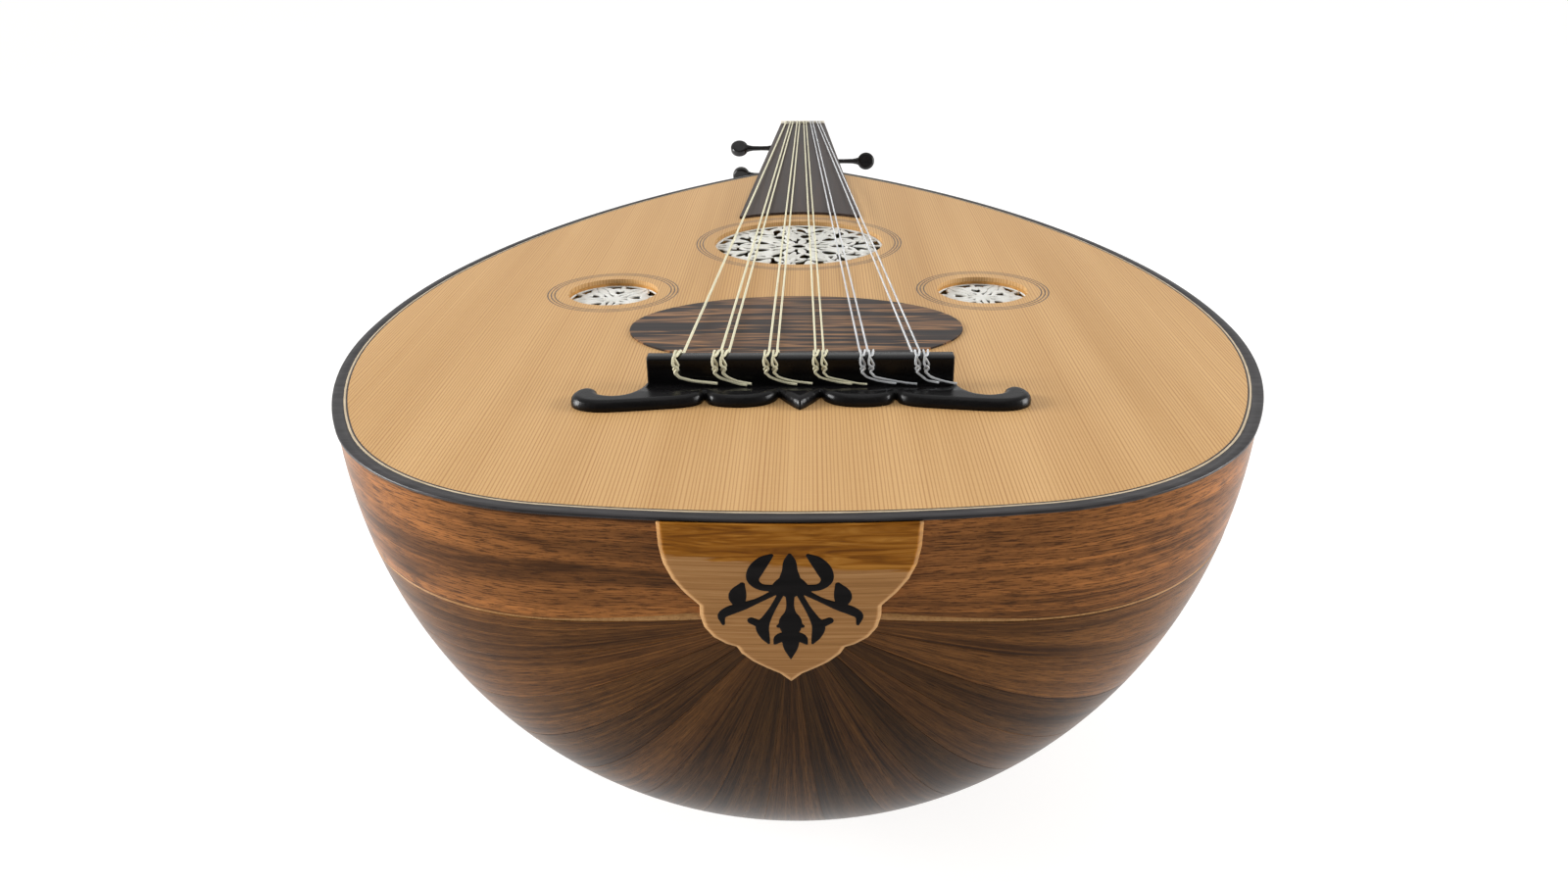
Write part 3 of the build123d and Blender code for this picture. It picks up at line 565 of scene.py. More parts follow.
def carved_grid(distance, low, high, step):
    """Cells of a fine grid inside a shape, with the rim points drawn onto its outline.

    Returns plan points, faces and each point's depth inside the outline."""
    columns = int(round((high[0] - low[0]) / step)) + 1
    rows = int(round((high[1] - low[1]) / step)) + 1
    x, y = np.meshgrid(np.linspace(low[0], high[0], columns), np.linspace(low[1], high[1], rows))
    d = distance(x, y)
    middle = distance((x[:-1, :-1] + x[1:, 1:]) / 2, (y[:-1, :-1] + y[1:, 1:]) / 2)
    keep = middle < 0
    around = np.zeros((rows, columns), int)
    for dy in (0, 1):
        for dx in (0, 1):
            around[dy:rows - 1 + dy, dx:columns - 1 + dx] += keep
    rim = (around > 0) & (around < 4)
    used = around > 0
    for _ in range(2):
        small = step * 0.05
        slope_x = (distance(x + small, y) - distance(x - small, y)) / (2 * small)
        slope_y = (distance(x, y + small) - distance(x, y - small)) / (2 * small)
        size = np.maximum(slope_x ** 2 + slope_y ** 2, 0.2)
        shift = np.clip(d, -step * 0.8, step * 0.8)
        x = np.where(rim, x - shift * slope_x / size, x)
        y = np.where(rim, y - shift * slope_y / size, y)
        d = distance(x, y)
    index = -np.ones((rows, columns), int)
    index[used] = np.arange(used.sum())
    cells = np.argwhere(keep)
    faces = [(index[r, c], index[r, c + 1], index[r + 1, c + 1], index[r + 1, c]) for r, c in cells]
    depth = np.where(rim, 0.0, np.maximum(-d, 0.0))
    return np.stack([x[used], y[used]], 1), faces, depth[used]


def rounded_drop(depth, radius):
    """How far, as a share of 1, a rounded edge falls at a depth inside its outline."""
    share = np.clip(depth / radius, 0, 1)
    return 1 - np.sqrt(1 - (1 - share) ** 2)


def carved_solid(plan, faces, top, bottom, centre=(0.0, 0.0), upright=False):
    """A closed solid from plan cells: the top and bottom sheets are joined along every rim edge.

    An upright one is carved in X and Z, and its thickness lies along Y."""
    count = len(plan)
    placed = [(x + centre[0], y + centre[1]) for x, y in plan]
    verts = [(x, y, z) for sheet in (top, bottom) for (x, y), z in zip(placed, sheet)]
    if upright:
        verts = [(x, z, y) for x, y, z in verts]
    solid = [tuple(face) for face in faces]
    solid += [tuple(index + count for index in reversed(face)) for face in faces]
    edges = {}
    for face in faces:
        for a, b in zip(face, face[1:] + face[:1]):
            edges[(a, b)] = edges.get((a, b), 0) + 1
    for a, b in edges:
        if (b, a) not in edges:
            solid.append((b, a, a + count, b + count))
    return verts, solid


# ---- bowl ----
def outline_arcs():
    """Centre, radius and headings of each arc of the right half outline."""
    arcs, heading, centre = [], 0.0, (0.0, OUTLINE_ARCS[0][0])
    for index, (radius, end) in enumerate(OUTLINE_ARCS):
        if index:
            step = OUTLINE_ARCS[index - 1][0] - radius
            centre = (centre[0] + step * math.sin(heading), centre[1] - step * math.cos(heading))
        if end is None:
            end_heading = math.acos((centre[1] - BODY_LENGTH) / radius)
        else:
            end_heading = math.radians(end)
        arcs.append((centre, radius, heading, end_heading))
        heading = end_heading
    return arcs


def arc_point(centre, radius, heading):
    return centre[0] + radius * math.sin(heading), centre[1] - radius * math.cos(heading), heading


def outline_samples(spacing):
    """Half width, Y and outward heading of evenly spaced points on the right half outline."""
    samples = []
    for centre, radius, start, end in outline_arcs():
        count = max(int(radius * (end - start) / spacing), 4)
        samples += [arc_point(centre, radius, start + (end - start) * step / count) for step in range(count)]
    return np.array(samples + [arc_point(centre, radius, end)])


OUTLINE = outline_samples(0.4)


def line_depth(y, drop=0.0):
    """How far below the face the line lies that all the rib seams meet."""
    return RIB_LINE_TAIL - (RIB_LINE_TAIL - RIB_LINE_NECK) * y / BODY_LENGTH + drop


def seam_turn(phi, width, depth):
    """Where a seam's plane meets the bowl's section, as a turn from its rim, and whether it does."""
    size = math.hypot(math.sin(phi), DEPTH_FACTOR * math.cos(phi))
    shift = math.atan2(DEPTH_FACTOR * math.cos(phi), math.sin(phi))
    ratio = -depth * math.cos(phi) / np.maximum(width * size, 1e-6)
    return np.arccos(np.clip(ratio, -1, 1)) - shift, np.abs(ratio) <= 1


def seam_curve(angle, drop, count):
    """Points on the bowl along one seam angle below +X, evenly spaced from the tail to the neck."""
    mirror = -1 if angle > 90 else 1
    phi = math.radians(180 - angle if angle > 90 else angle)
    width, y = OUTLINE[:, 0], OUTLINE[:, 1]
    depth = line_depth(y, drop)
    turn, meets = seam_turn(phi, width, depth)
    x = width * np.cos(turn)
    z = -DEPTH_FACTOR * width * np.sin(turn)
    reach = x * math.cos(phi) + (-z - depth) * math.sin(phi)
    good = meets & (reach >= RIB_TIP_RADIUS)
    points = np.stack([mirror * x[good], y[good], z[good]], 1)
    return resampled(points, count)


def resampled(points, count):
    """Evenly spaced points along a path, and its length."""
    steps = np.linalg.norm(np.diff(points, axis=0), axis=1)
    length = np.concatenate([[0], np.cumsum(steps)])
    wanted = np.linspace(0, length[-1], count)
    return np.stack([np.interp(wanted, length, points[:, axis]) for axis in range(3)], 1), length[-1]


def add_rib(number, columns, lengths, material):
    """A rib as a thick shell from its column curves, with its grain map along the rib."""
    node = f"rib_{number:02d}"
    count = len(columns[0])
    verts, uv = [], []
    width = np.max(np.linalg.norm(columns[-1] - columns[0], axis=1))
    for row in range(count):
        for index, column in enumerate(columns):
            verts.append(column[row])
            share = index / (len(columns) - 1)
            uv.append((lengths[index] * row / (count - 1) * MM, (share * width + GRAIN_SHIFT * number) * MM))
    faces = grid_faces(count, len(columns))
    piece = new_piece(f"{node}_walnut", material, verts, faces, uv, "walnut", (node,), closed=False)
    solid = piece.modifiers.new("thickness", "SOLIDIFY")
    solid.thickness = RIB_THICKNESS * MM
    solid.offset = -1
    face_away(piece)
    bevelled(piece, 0.25, 50)


def face_away(piece):
    """Points an open sheet's faces away from the bowl's inside."""
    inside = TO_ROW @ Vector((0, 200, -40))
    total = sum((face.center - inside).dot(face.normal) * face.area for face in piece.data.polygons)
    if total < 0:
        piece.data.flip_normals()


def rim_columns(side, count, columns):
    """The wide rim rib: from just under the face down to the first seam."""
    picked = OUTLINE[OUTLINE[:, 0] > 3.5]
    width, y = picked[:, 0], picked[:, 1]
    top = np.arcsin(np.clip(-RIB_TOP_Z / (DEPTH_FACTOR * width), 0, 1))
    bottom = np.minimum(seam_turn(math.radians(RIM_ANGLE), width, line_depth(y))[0], math.pi / 2)
    result, lengths = [], []
    for index in range(columns):
        turn = top + (bottom - top) * index / (columns - 1)
        points = np.stack([side * width * np.cos(turn), y, -DEPTH_FACTOR * width * np.sin(turn)], 1)
        steps = np.linalg.norm(np.diff(points, axis=0), axis=1)
        lengths.append(steps.sum())
        share = np.linspace(0, 1, len(points))
        wanted = np.linspace(0, 1, count) ** 1.15
        result.append(np.stack([np.interp(wanted, share, points[:, axis]) for axis in range(3)], 1))
    return result, lengths


def make_bowl():
    """Two wide rim ribs and the fan of ribs between them, in five tones of walnut: partly the wood's own
    tone, partly painted light, brightest on the rim ribs and darkest in the middle as painted shade.
    """
    rows, columns = 170, 9
    # Brightness and warmth of the five walnuts: the brightest, on the rim ribs, is painted light and the
    # darkest, in the middle, painted shade; neighbours alternate in the wood's own tone.
    tone_and_light_pairs = ((2.00, 1.08), (1.30, 1.0), (0.66, 0.95), (0.86, 0.97), (0.50, 0.92))
    materials = [rib_material(f"walnut_{index + 1}", *tone_and_light_pair) for index, tone_and_light_pair in enumerate(tone_and_light_pairs)]
    # Which walnut each rib gets, from rim to rim: bright at the rims as painted light, dark in the middle as
    # painted shade.
    tone_and_light_by_rib = (0, 1, 1, 3, 2, 3, 2, 4, 2, 4, 2, 4, 3, 2, 1, 1, 0)
    step = (180 - 2 * RIM_ANGLE) / (RIB_COUNT - 2)
    for side, number in ((-1, 1), (1, RIB_COUNT)):
        add_rib(number, *rim_columns(side, rows + 60, columns), materials[0])
    for index in range(RIB_COUNT - 2):
        number = index + 2
        start = 180 - RIM_ANGLE - index * step
        drops = (STRIP_WIDTH if index == 0 else 0, STRIP_WIDTH if index == RIB_COUNT - 3 else 0)
        curves = []
        for column in range(columns):
            share = column / (columns - 1)
            curves.append(seam_curve(start - step * share, drops[0] + (drops[1] - drops[0]) * share, rows))
        add_rib(number, *zip(*curves), materials[tone_and_light_by_rib[number - 1]])


def make_rim_strips():
    """The two light lines under the rim ribs."""
    material = plain_wood("light_line_wood", (0.26, 0.13, 0.045), (0.42, 0.23, 0.09))
    parts = []
    for angle in (RIM_ANGLE, 180 - RIM_ANGLE):
        upper = seam_curve(angle, 0.0, 220)[0]
        lower = seam_curve(angle, STRIP_WIDTH, 220)[0]
        parts.append(strip_along((upper + lower) / 2, STRIP_WIDTH / 2 - 0.1))
    new_piece("rim_strips_light", material, *joined(parts), "light_line", ("rim_strips",))


def strip_along(path, half):
    """A thin flat-sided strip let into the bowl along a path, standing a hair proud."""
    verts, uv = [], []
    proud, deep = 0.06, 2.2
    length = 0.0
    for index, point in enumerate(path):
        outward_way = np.array([point[0], 0.0, point[2] / DEPTH_FACTOR])
        behind = path[max(index - 1, 0)]
        ahead = path[min(index + 1, len(path) - 1)]
        along = (ahead - behind) / np.linalg.norm(ahead - behind)
        outward_way = outward_way - along * outward_way.dot(along)
        outward_way /= np.linalg.norm(outward_way)
        across = np.cross(along, outward_way)
        for side, height in ((-1, proud), (1, proud), (1, -deep), (-1, -deep)):
            verts.append(point + across * side * half + outward_way * height)
            uv.append((length * MM, side * half * MM))
        length += np.linalg.norm(ahead - behind) / 2
    return verts, capped_rings(len(path), 4), uv


def swept_edge(section):
    """A closed section of (outward, Z) points swept along the face outline, neck to neck."""
    samples = outline_samples(2.5)
    path = [(x, y, heading, 1) for x, y, heading in samples[::-1]]
    path += [(x, y, heading, -1) for x, y, heading in samples[1:]]
    verts, uv, length = [], [], 0.0
    for index, (x, y, heading, side) in enumerate(path):
        if index:
            length += math.hypot(x * side - path[index - 1][0] * path[index - 1][3], y - path[index - 1][1])
        for share, (out, z) in enumerate(section):
            place_x = x + math.sin(heading) * out
            place_y = y - math.cos(heading) * out
            if index in (0, len(path) - 1):
                place_y = BODY_LENGTH
                place_x = x + out / max(math.sin(heading), 0.3)
            verts.append((side * place_x, place_y, z))
            uv.append((length * MM, share * 0.001))
    return verts, capped_rings(len(path), len(section)), uv


def rounded_corner(centre, radius, start, end, steps):
    """Points of an arc between two angles in degrees."""
    angles = [math.radians(start + (end - start) * step / steps) for step in range(steps + 1)]
    return [(centre[0] + radius * math.cos(turn), centre[1] + radius * math.sin(turn)) for turn in angles]


def make_binding():
    """The dark binding with its rounded edge, and the dark line inside the light purfling."""
    material = ebony_material("binding_ebony", (0.0190, 0.0175, 0.0182), (0.30, 0.42), 0.14)
    section = [(-3.2, -0.02), (-0.4, 0.0)]
    section += rounded_corner((0.5, -0.5), 0.5, 88, 0, 6)
    section += rounded_corner((0.65, -0.7), 0.35, 0, -90, 4)
    section += [(-2.4, -1.05), (-3.2, -1.05)]
    new_piece("binding_dark", material, *swept_edge(section), "ebony_edge", ("binding",))
    line = [(-4.55, -0.6), (-4.55, 0.03), (-3.98, 0.03), (-3.98, -0.6)]
    dark = ebony_material("dark_line_wood", (0.020, 0.013, 0.010), (0.35, 0.5))
    new_piece("purfling_dark_line", dark, *swept_edge(line), "ebony_edge")


# ---- tail clasp ----
CLASP_EDGE = ((0, -1.15), (39.2, -1.15), (38.9, -9.0), (37.8, -15.0), (35.4, -20.4), (31.8, -25.2),
              (27.5, -29.6), (27.5, -33.2), (26.4, -37.6), (23.6, -41.4), (19.6, -43.9), (16.6, -44.9),
              (15.2, -47.4), (11.6, -50.6), (7.6, -53.0), (3.4, -55.2), (0, -58.3))
CLASP_THICKNESS = 2.5


def tail_surface_y(x, z):
    """Y of the bowl's outside at a place on its tail end."""
    width = np.hypot(x, np.asarray(z) / DEPTH_FACTOR)
    tail = OUTLINE[: int(np.argmax(OUTLINE[:, 0]))]
    return np.interp(width, tail[:, 0], tail[:, 1])


def make_clasp():
    """The shaped cap on the bowl's tail: bevelled along its lower edge, square at the binding."""
    polygon = list(CLASP_EDGE) + [(-x, z) for x, z in CLASP_EDGE[-2:0:-1]]
    lower = [point for point in polygon if point[1] < -1.3 or abs(point[0]) > 30]

    def distance(x, z):
        return polygon_distance(x, z, polygon)

    plan, faces, _ = carved_grid(distance, (-39.6, -59.0), (39.6, -1.15), 0.45)
    x, z = plan[:, 0], plan[:, 1]
    depth = -polygon_distance(x, z, [(lower[0][0], 40.0)] + lower + [(lower[-1][0], 40.0)])
    bevel_width, bevel_drop = 1.4, 1.0
    bevel = np.clip(1 - np.maximum(depth, 0.0) / bevel_width, 0, 1)
    surface = tail_surface_y(x, z)
    front = surface - CLASP_THICKNESS + bevel_drop * bevel
    solid = carved_solid(plan, faces, front, surface - 0.1, upright=True)
    band_level = np.clip((z + 14.5) / 6.0 + 0.5 + x * 0.012, 0, 1)
    # The bevel attribute also carries the painted highlight on the bevelled edge.
    attributes = {"bevel": np.tile(np.clip(bevel * 3, 0, 1), 2), "band": np.tile(band_level, 2)}
    new_piece("tail_clasp_wood", clasp_material(), *solid, None, "clasp_wood", ("tail_clasp",),
              attributes=attributes)
    make_ornament()


def ornament_distance(x, z):
    """The dark ornament: bud and stem, curled leaves, two pairs of arms with lobes, leaf tip."""
    side = np.abs(x) / ORNAMENT_SPREAD
    strokes = (
        (((0, -10.9), (0, -13.5), (0, -16.5), (0, -19.5), (0, -22.2), (0, -24.6)),
         (0.6, 1.8, 2.2, 3.0, 3.2, 1.4)),
        (((0, -19.0), (2.6, -21.0), (5.2, -23.0)), (2.2, 1.8, 0.7)),
        (((0, -24.6), (0, -28.5), (0, -31.6), (0, -34.6), (0, -36.6)), (1.3, 1.1, 1.7, 3.2, 3.0)),
        (((2.0, -35.6), (3.4, -36.2)), (1.2, 0.6)),
        (((0, -37.2), (0, -40.4), (0, -43.6), (0, -48.6)), (1.3, 2.2, 2.2, 0.2)),
        (((0.5, -39.4), (3.0, -40.6), (4.5, -42.8)), (1.5, 1.6, 0.4)),
        (((5.0, -11.0), (7.4, -13.2), (9.4, -16.2), (10.2, -19.4), (8.2, -21.9), (4.0, -22.4)),
         (0.6, 1.8, 2.2, 1.7, 1.2, 1.2)),
        (((3.0, -23.0), (8.6, -26.6), (13.3, -29.0), (16.9, -30.6), (19.2, -32.6), (18.9, -35.6)),
         (1.1, 0.9, 1.4, 1.6, 1.2, 0.5)),
        (((14.2, -28.4), (14.6, -25.2), (13.2, -21.2)), (1.4, 2.5, 0.8)),
        (((2.2, -23.6), (4.6, -29.0), (6.6, -33.2), (7.9, -36.4), (7.3, -39.8), (6.2, -42.6)),
         (0.9, 0.9, 1.3, 1.9, 1.4, 0.4)),
        (((8.4, -35.6), (10.9, -34.2)), (1.4, 1.2)),
    )
    return nearest_stroke(side, z, strokes, np.full(x.shape, 1e9))


def make_ornament():
    """The dark ornament let into the clasp, flush but for its softened edge."""
    plan, faces, depth = carved_grid(ornament_distance, (-24.0, -50.0), (24.0, -9.5), 0.3)
    surface = tail_surface_y(plan[:, 0], plan[:, 1]) - CLASP_THICKNESS
    rounding = 0.10 * np.clip(depth / 0.5, 0, 1)
    solid = carved_solid(plan, faces, surface - 0.03 - rounding, surface + 0.6, upright=True)
    material = ebony_material("inlay_ebony", (0.0040, 0.0034, 0.0034), (0.40, 0.55), 0.05)
    new_piece("clasp_ornament", material, *solid, None, "black_ebony", ("clasp_inlay",))


# ---- roses ----
def folded(x, y, folds):
    """A point turned and mirrored into one half sector of a rotational pattern."""
    sector = 2 * math.pi / folds
    angle = np.arctan2(y, x)
    local = np.abs((angle + sector / 2) % sector - sector / 2)
    radius = np.hypot(x, y)
    return radius * np.cos(local), radius * np.sin(local), radius


def main_rose_distance(x, y):
    """A dense arabesque: rim ring, scrolled leaves, a middle band and a rayed centre."""
    a, b, radius = folded(x, y, 9)
    best = np.abs(radius - 44.6) - 0.9
    best = np.minimum(best, np.abs(radius - 4.6) - 1.0)
    strokes = (
        (((5.0, 0.0), (10, 0.0), (15.5, 0.0)), (0.8, 2.2, 0.7)),
        (((15.0, 0.0), (18.0, 3.4), (22.0, 5.0), (25.0, 3.6), (25.6, 1.0)), (0.8, 1.3, 1.7, 1.3, 0.8)),
        (((22.0, 5.0), (26.5, 8.4), (30.5, 10.8)), (1.2, 1.2, 1.2)),
        (((44.2, 0.0), (39.0, 0.0), (34.0, 0.0), (29.5, 0.0)), (0.8, 1.7, 2.6, 0.6)),
        (((34.0, 1.2), (37.6, 4.0), (38.6, 8.2), (35.6, 9.8), (33.2, 8.0)), (1.1, 1.2, 1.5, 1.3, 0.8)),
        (((30.0, 10.6), (35.0, 12.4), (40.0, 14.2)), (1.2, 1.6, 1.0)),
        (((38.4, 9.0), (41.4, 11.0), (43.0, 13.4)), (1.0, 1.2, 0.8)),
        (((12.0, 4.2), (17.5, 6.3), (23.5, 8.4)), (0.8, 1.8, 0.8)),
        (((25.6, 1.2), (28.6, 4.2), (30.0, 8.0)), (0.8, 1.1, 1.0)),
    )
    return np.maximum(nearest_stroke(a, b, strokes, best), radius - 45.4)


def side_rose_distance(x, y):
    """A bolder arabesque: curling leaves round a small open flower."""
    a, b, radius = folded(x, y, 5)
    best = np.abs(radius - 20.9) - 0.5
    strokes = (
        (((0.0, 0.0), (3.2, 0.0), (6.6, 0.0)), (2.0, 1.5, 0.8)),
        (((6.2, 0.0), (9.0, 3.0), (12.6, 3.9), (14.9, 1.9), (13.0, 0.2)), (0.8, 1.3, 1.9, 1.7, 0.9)),
        (((12.4, 3.8), (15.0, 6.0), (16.6, 9.4)), (1.2, 1.6, 0.8)),
        (((20.5, 0.0), (18.2, 0.0), (16.0, 0.0)), (0.7, 1.2, 0.6)),
        (((2.6, 1.8), (7.2, 5.2), (11.6, 8.4), (16.6, 12.0)), (0.9, 1.1, 2.1, 0.8)),
    )
    return np.maximum(nearest_stroke(a, b, strokes, best), radius - 21.2)


def make_rose(name, spot, distance, step, turn, material, replaces):
    """A pierced rose with rounded strands, sunk in its hole."""
    reach = spot[2] + 0.6

    def turned(x, y):
        return distance(x * math.cos(turn) + y * math.sin(turn), y * math.cos(turn) - x * math.sin(turn))

    plan, faces, depth = carved_grid(turned, (-reach, -reach), (reach, reach), step)
    top = spot[3] - 0.35 * rounded_drop(depth, 0.6)
    solid = carved_solid(plan, faces, top, np.full(len(plan), spot[3] - 0.8), spot[:2])
    new_piece(name, material, *solid, None, "bone", replaces)


def make_rose_seat(name, spot, material):
    """The round wooden wall under the board that the rose is glued to."""
    profile = ((spot[2], -2.0), (spot[2], -5.4), (spot[2] + 3.0, -5.4), (spot[2] + 3.0, -2.0))
    steps = 128
    verts, uv = [], []
    for index in range(steps):
        turn = 2 * math.pi * index / steps
        for radius, z in profile:
            verts.append((spot[0] + radius * math.cos(turn), spot[1] + radius * math.sin(turn), z))
            uv.append((turn * spot[2] * MM, z * MM))
    faces = grid_faces(steps, 4, wrap=True)
    last = (steps - 1) * 4
    faces += [(last + i, last + (i + 1) % 4, (i + 1) % 4, i) for i in range(4)]
    new_piece(name, material, verts, faces, uv, "inner_wood", smooth=False)


def make_roses():
    """The main rose and the two side roses, mirror images of each other."""
    bone = bone_material("rose_bone", (0.76, 0.755, 0.72), (0.60, 0.59, 0.54))
    amber = plain_wood("rose_wall_wood", (0.42, 0.20, 0.055), (0.66, 0.36, 0.12))
    make_rose("main_rose_tracery", MAIN_ROSE, main_rose_distance, 0.42, 0.0, bone, ("main_rose",))
    make_rose_seat("main_rose_seat", MAIN_ROSE, amber)
    for side, turn in (("left", 0.2), ("right", math.pi - 0.2)):
        name, spot = f"side_rose_{side}", SIDE_ROSES[side]
        replaces = ("side_roses",) if side == "left" else ()
        make_rose(f"{name}_tracery", spot, side_rose_distance, 0.3, turn, bone, replaces)
        make_rose_seat(f"{name}_seat", spot, amber)


# ---- bridge ----
def bridge_outline():
    """Right half of the bridge foot: tip, middle lobe, long lobe, curled end and shoulder."""
    lobes = (
        ((0, 81.4), (2.6, 84.6), (5.4, 89.2), (7.7, 93.4)),
        ((7.7, 93.4), (9.4, 89.2), (13.5, 85.6), (20, 83.9), (27, 84.3), (32.2, 86.6), (34.6, 91.6)),
        ((34.6, 91.6), (36.2, 87.0), (41.5, 84.0), (54.9, 81.6), (68, 79.8), (75.5, 80.4), (80.6, 83.4),
         (82.7, 88.2), (81.2, 93.4), (77.6, 95.6), (74.2, 93.8), (73.2, 90.8)),
        ((73.2, 90.8), (71.4, 88.9), (67.0, 88.0), (62.2, 90.0), (59.2, 94.6), (57.4, 101.0), (56.8, 107.6)),
    )
    outline = []
    for lobe in lobes:
        outline += [(point.x, point.y) for point in smooth_path([(x, y, 0) for x, y in lobe], 6)][:-1]
    return outline + [(56.8, 107.6), (0, 107.6)]


def make_bridge():
    """The low foot with its lobes and curled ends, hollowed in front of the tie block."""
    material = ebony_material("bridge_ebony", (0.0036, 0.0034, 0.0036), (0.20, 0.32), specular=0.15)
    half = bridge_outline()
    polygon = half + [(-x, y) for x, y in half[-2:0:-1]]

    def distance(x, y):
        return polygon_distance(x, y, polygon)

    plan, faces, depth = carved_grid(distance, (-83.4, 79.2), (83.4, 107.6), 0.5)
    rounding, edge = 2.6, 1.3
    top = PLATE_THICKNESS - (PLATE_THICKNESS - edge) * rounded_drop(depth, rounding)
    beside = np.clip((62.0 - np.abs(plan[:, 0])) / 8.0, 0, 1)
    near_block = np.clip(1 - (BRIDGE_FRONT_Y - plan[:, 1]) / 11.0, 0, 1) * beside
    hollow = 1.7 * np.clip(depth / rounding, 0, 1) * np.minimum(near_block * 1.4, 1.0) ** 1.2
    solid = carved_solid(plan, faces, top - hollow, np.full(len(plan), 0.02), (BRIDGE_X, 0.0))
    new_piece("bridge_foot", material, *solid, None, "black_ebony", ("bridge",))
    make_bridge_block(material)


def make_bridge_block(material):
    """The tie block, with rounded edges and one hole through it for each string."""
    holes = string_places(COURSE_X_BRIDGE, PAIR_GAP_BRIDGE)
    bottom = 1.0
    middle_z, half_height = (bottom + BRIDGE_TOP) / 2, (BRIDGE_TOP - bottom) / 2

    def distance(x, z):
        beside, above = np.abs(x) - BRIDGE_HALF_LENGTH, np.abs(z - middle_z) - half_height
        outside = np.hypot(np.maximum(beside, 0), np.maximum(above, 0))
        best = np.minimum(np.maximum(beside, above), 0) + outside
        for hole in holes:
            best = np.maximum(best, HOLE_RADIUS - np.hypot(x - hole, z - STRING_HOLE_Z))
        return best

    low, high = (-BRIDGE_HALF_LENGTH - 0.6, 0.6), (BRIDGE_HALF_LENGTH + 0.6, BRIDGE_TOP + 0.5)
    plan, faces, depth = carved_grid(distance, low, high, 0.3)
    rounding = 0.7
    drop = rounding * rounded_drop(depth, rounding)
    solid = carved_solid(plan, faces, BRIDGE_FRONT_Y + drop, BRIDGE_Y - drop, (BRIDGE_X, 0.0), upright=True)
    new_piece("bridge_block", material, *solid, None, "black_ebony")


# ---- strings ----
def string_places(courses, gap):
    """X of all eleven strings: one single, then five pairs."""
    places = [courses[0]]
    for centre in courses[1:]:
        places += [centre - gap / 2, centre + gap / 2]
    return places


def string_ends():
    """The peg of each string, left to right: outer strings go to the nearest pegs."""
    left = [("left", number) for number in range(1, PEG_COUNT["left"] + 1)]
    right = [("right", number) for number in range(PEG_COUNT["right"], 0, -1)]
    return left + right


def winding_x(side, number):
    """X in the pegbox where a string meets its peg, nearer the middle on the farther pegs."""
    return (-1 if side == "left" else 1) * (9.8 - 1.5 * (number - 1))


def peg_along(side, number):
    """How far down the pegbox a peg is."""
    return FIRST_PEG[side] + PEG_PITCH * (number - 1)


def string_route(index):
    """From the bridge hole over the nut to the top of the winding on its peg."""
    x_bridge = BRIDGE_X + string_places(COURSE_X_BRIDGE, PAIR_GAP_BRIDGE)[index]
    x_nut = string_places(COURSE_X_NUT, PAIR_GAP_NUT)[index]
    side, number = string_ends()[index]
    height = WINDING_RADIUS + STRING_RADIUS + 0.3 - PEG_DEPTH
    end = pegbox_point(winding_x(side, number), peg_along(side, number), height)
    bend = Vector((x_nut, NUT_Y + 3.4, NUT_STRING_Z - 0.15))
    start = Vector((x_bridge, BRIDGE_FRONT_Y - 0.6, STRING_HOLE_Z))
    leave = Vector((x_bridge, BRIDGE_Y + 0.4, STRING_HOLE_Z + 0.2))
    top = Vector((x_nut, NUT_Y + 0.8, NUT_STRING_Z))
    after = bend.lerp(end, 0.06) + Vector((0, 0.5, 0.4))
    return [start, leave, leave.lerp(top, 0.5), top, bend, after, end]


def tie_route(index):
    """The tie: out of the hole, over the block, round the string, back over and twisted, then the cut end."""
    x = BRIDGE_X + string_places(COURSE_X_BRIDGE, PAIR_GAP_BRIDGE)[index]
    front, back = BRIDGE_FRONT_Y - 0.55, BRIDGE_Y + 0.55
    over = BRIDGE_TOP + 0.5
    reach = (15.0, 11.5, 10.0, 11.0, 13.5, 13.0, 15.5, 12.0, 16.5, 7.5, 11.0)[index]
    fall = (0.0, 0.6, 0.2, 0.4, 0.1, 0.3, 0.5, 0.2, 0.4, 0.0, 0.3)[index]
    return [
        (x, front, STRING_HOLE_Z), (x - 0.9, front - 0.35, STRING_HOLE_Z + 1.2),
        (x + 0.6, front - 0.25, 10.0), (x - 0.5, front + 0.1, over - 0.6),
        (x - 0.75, front + 1.2, over), (x - 0.8, back - 1.2, over + 0.05),
        (x - 0.7, back + 0.5, over - 1.2), (x - 0.2, back + 1.0, STRING_HOLE_Z + 1.1),
        (x + 0.9, back + 0.9, STRING_HOLE_Z + 1.6), (x + 0.95, back + 0.3, over - 0.7),
        (x + 0.8, back - 1.2, over + 0.1), (x + 0.2, front + 1.4, over + 0.45),
        (x - 0.9, front + 0.2, over), (x - 1.0, front - 0.75, 10.4),
        (x + 0.5, front - 0.95, 9.0), (x - 0.5, front - 0.9, 7.6), (x + 0.3, front - 1.0, 6.6),
        (x + 1.7, front - 1.1, 5.5), (x + reach * 0.45, front - 1.3, 4.3),
        (x + reach * 0.75, front - 1.6, 3.9 - fall), (x + reach, front - 2.2, 3.7 - fall),
    ]


def make_strings():
    """Six courses: each string and its tie, thinner from left to right."""
    wound, nylon = wound_material(), nylon_material()
    groups = [[0]] + [[1 + 2 * pair, 2 + 2 * pair] for pair in range(5)]
    for course, members in enumerate(groups):
        parts = []
        for index in members:
            radius = 0.55 - 0.025 * index if index < WOUND_STRINGS else 0.42
            parts.append(tube(smooth_string(string_route(index)), radius, 12))
            parts.append(tube(smooth_path(tie_route(index), 7), radius * 1.05, 10))
        node = f"strings_course_{course + 1}"
        material, slot = (wound, "string_wound") if members[0] < WOUND_STRINGS else (nylon, "string_nylon")
        new_piece(f"{node}_tied", material, *joined(parts), slot, (node,), closed=False)


def smooth_string(route):
    """Straight runs with a short rounded turn at the nut."""
    start, leave, middle, top, bend, after, end = route
    rounded = smooth_path([top, bend, after], 6)
    return [start, leave, middle] + rounded + [end]


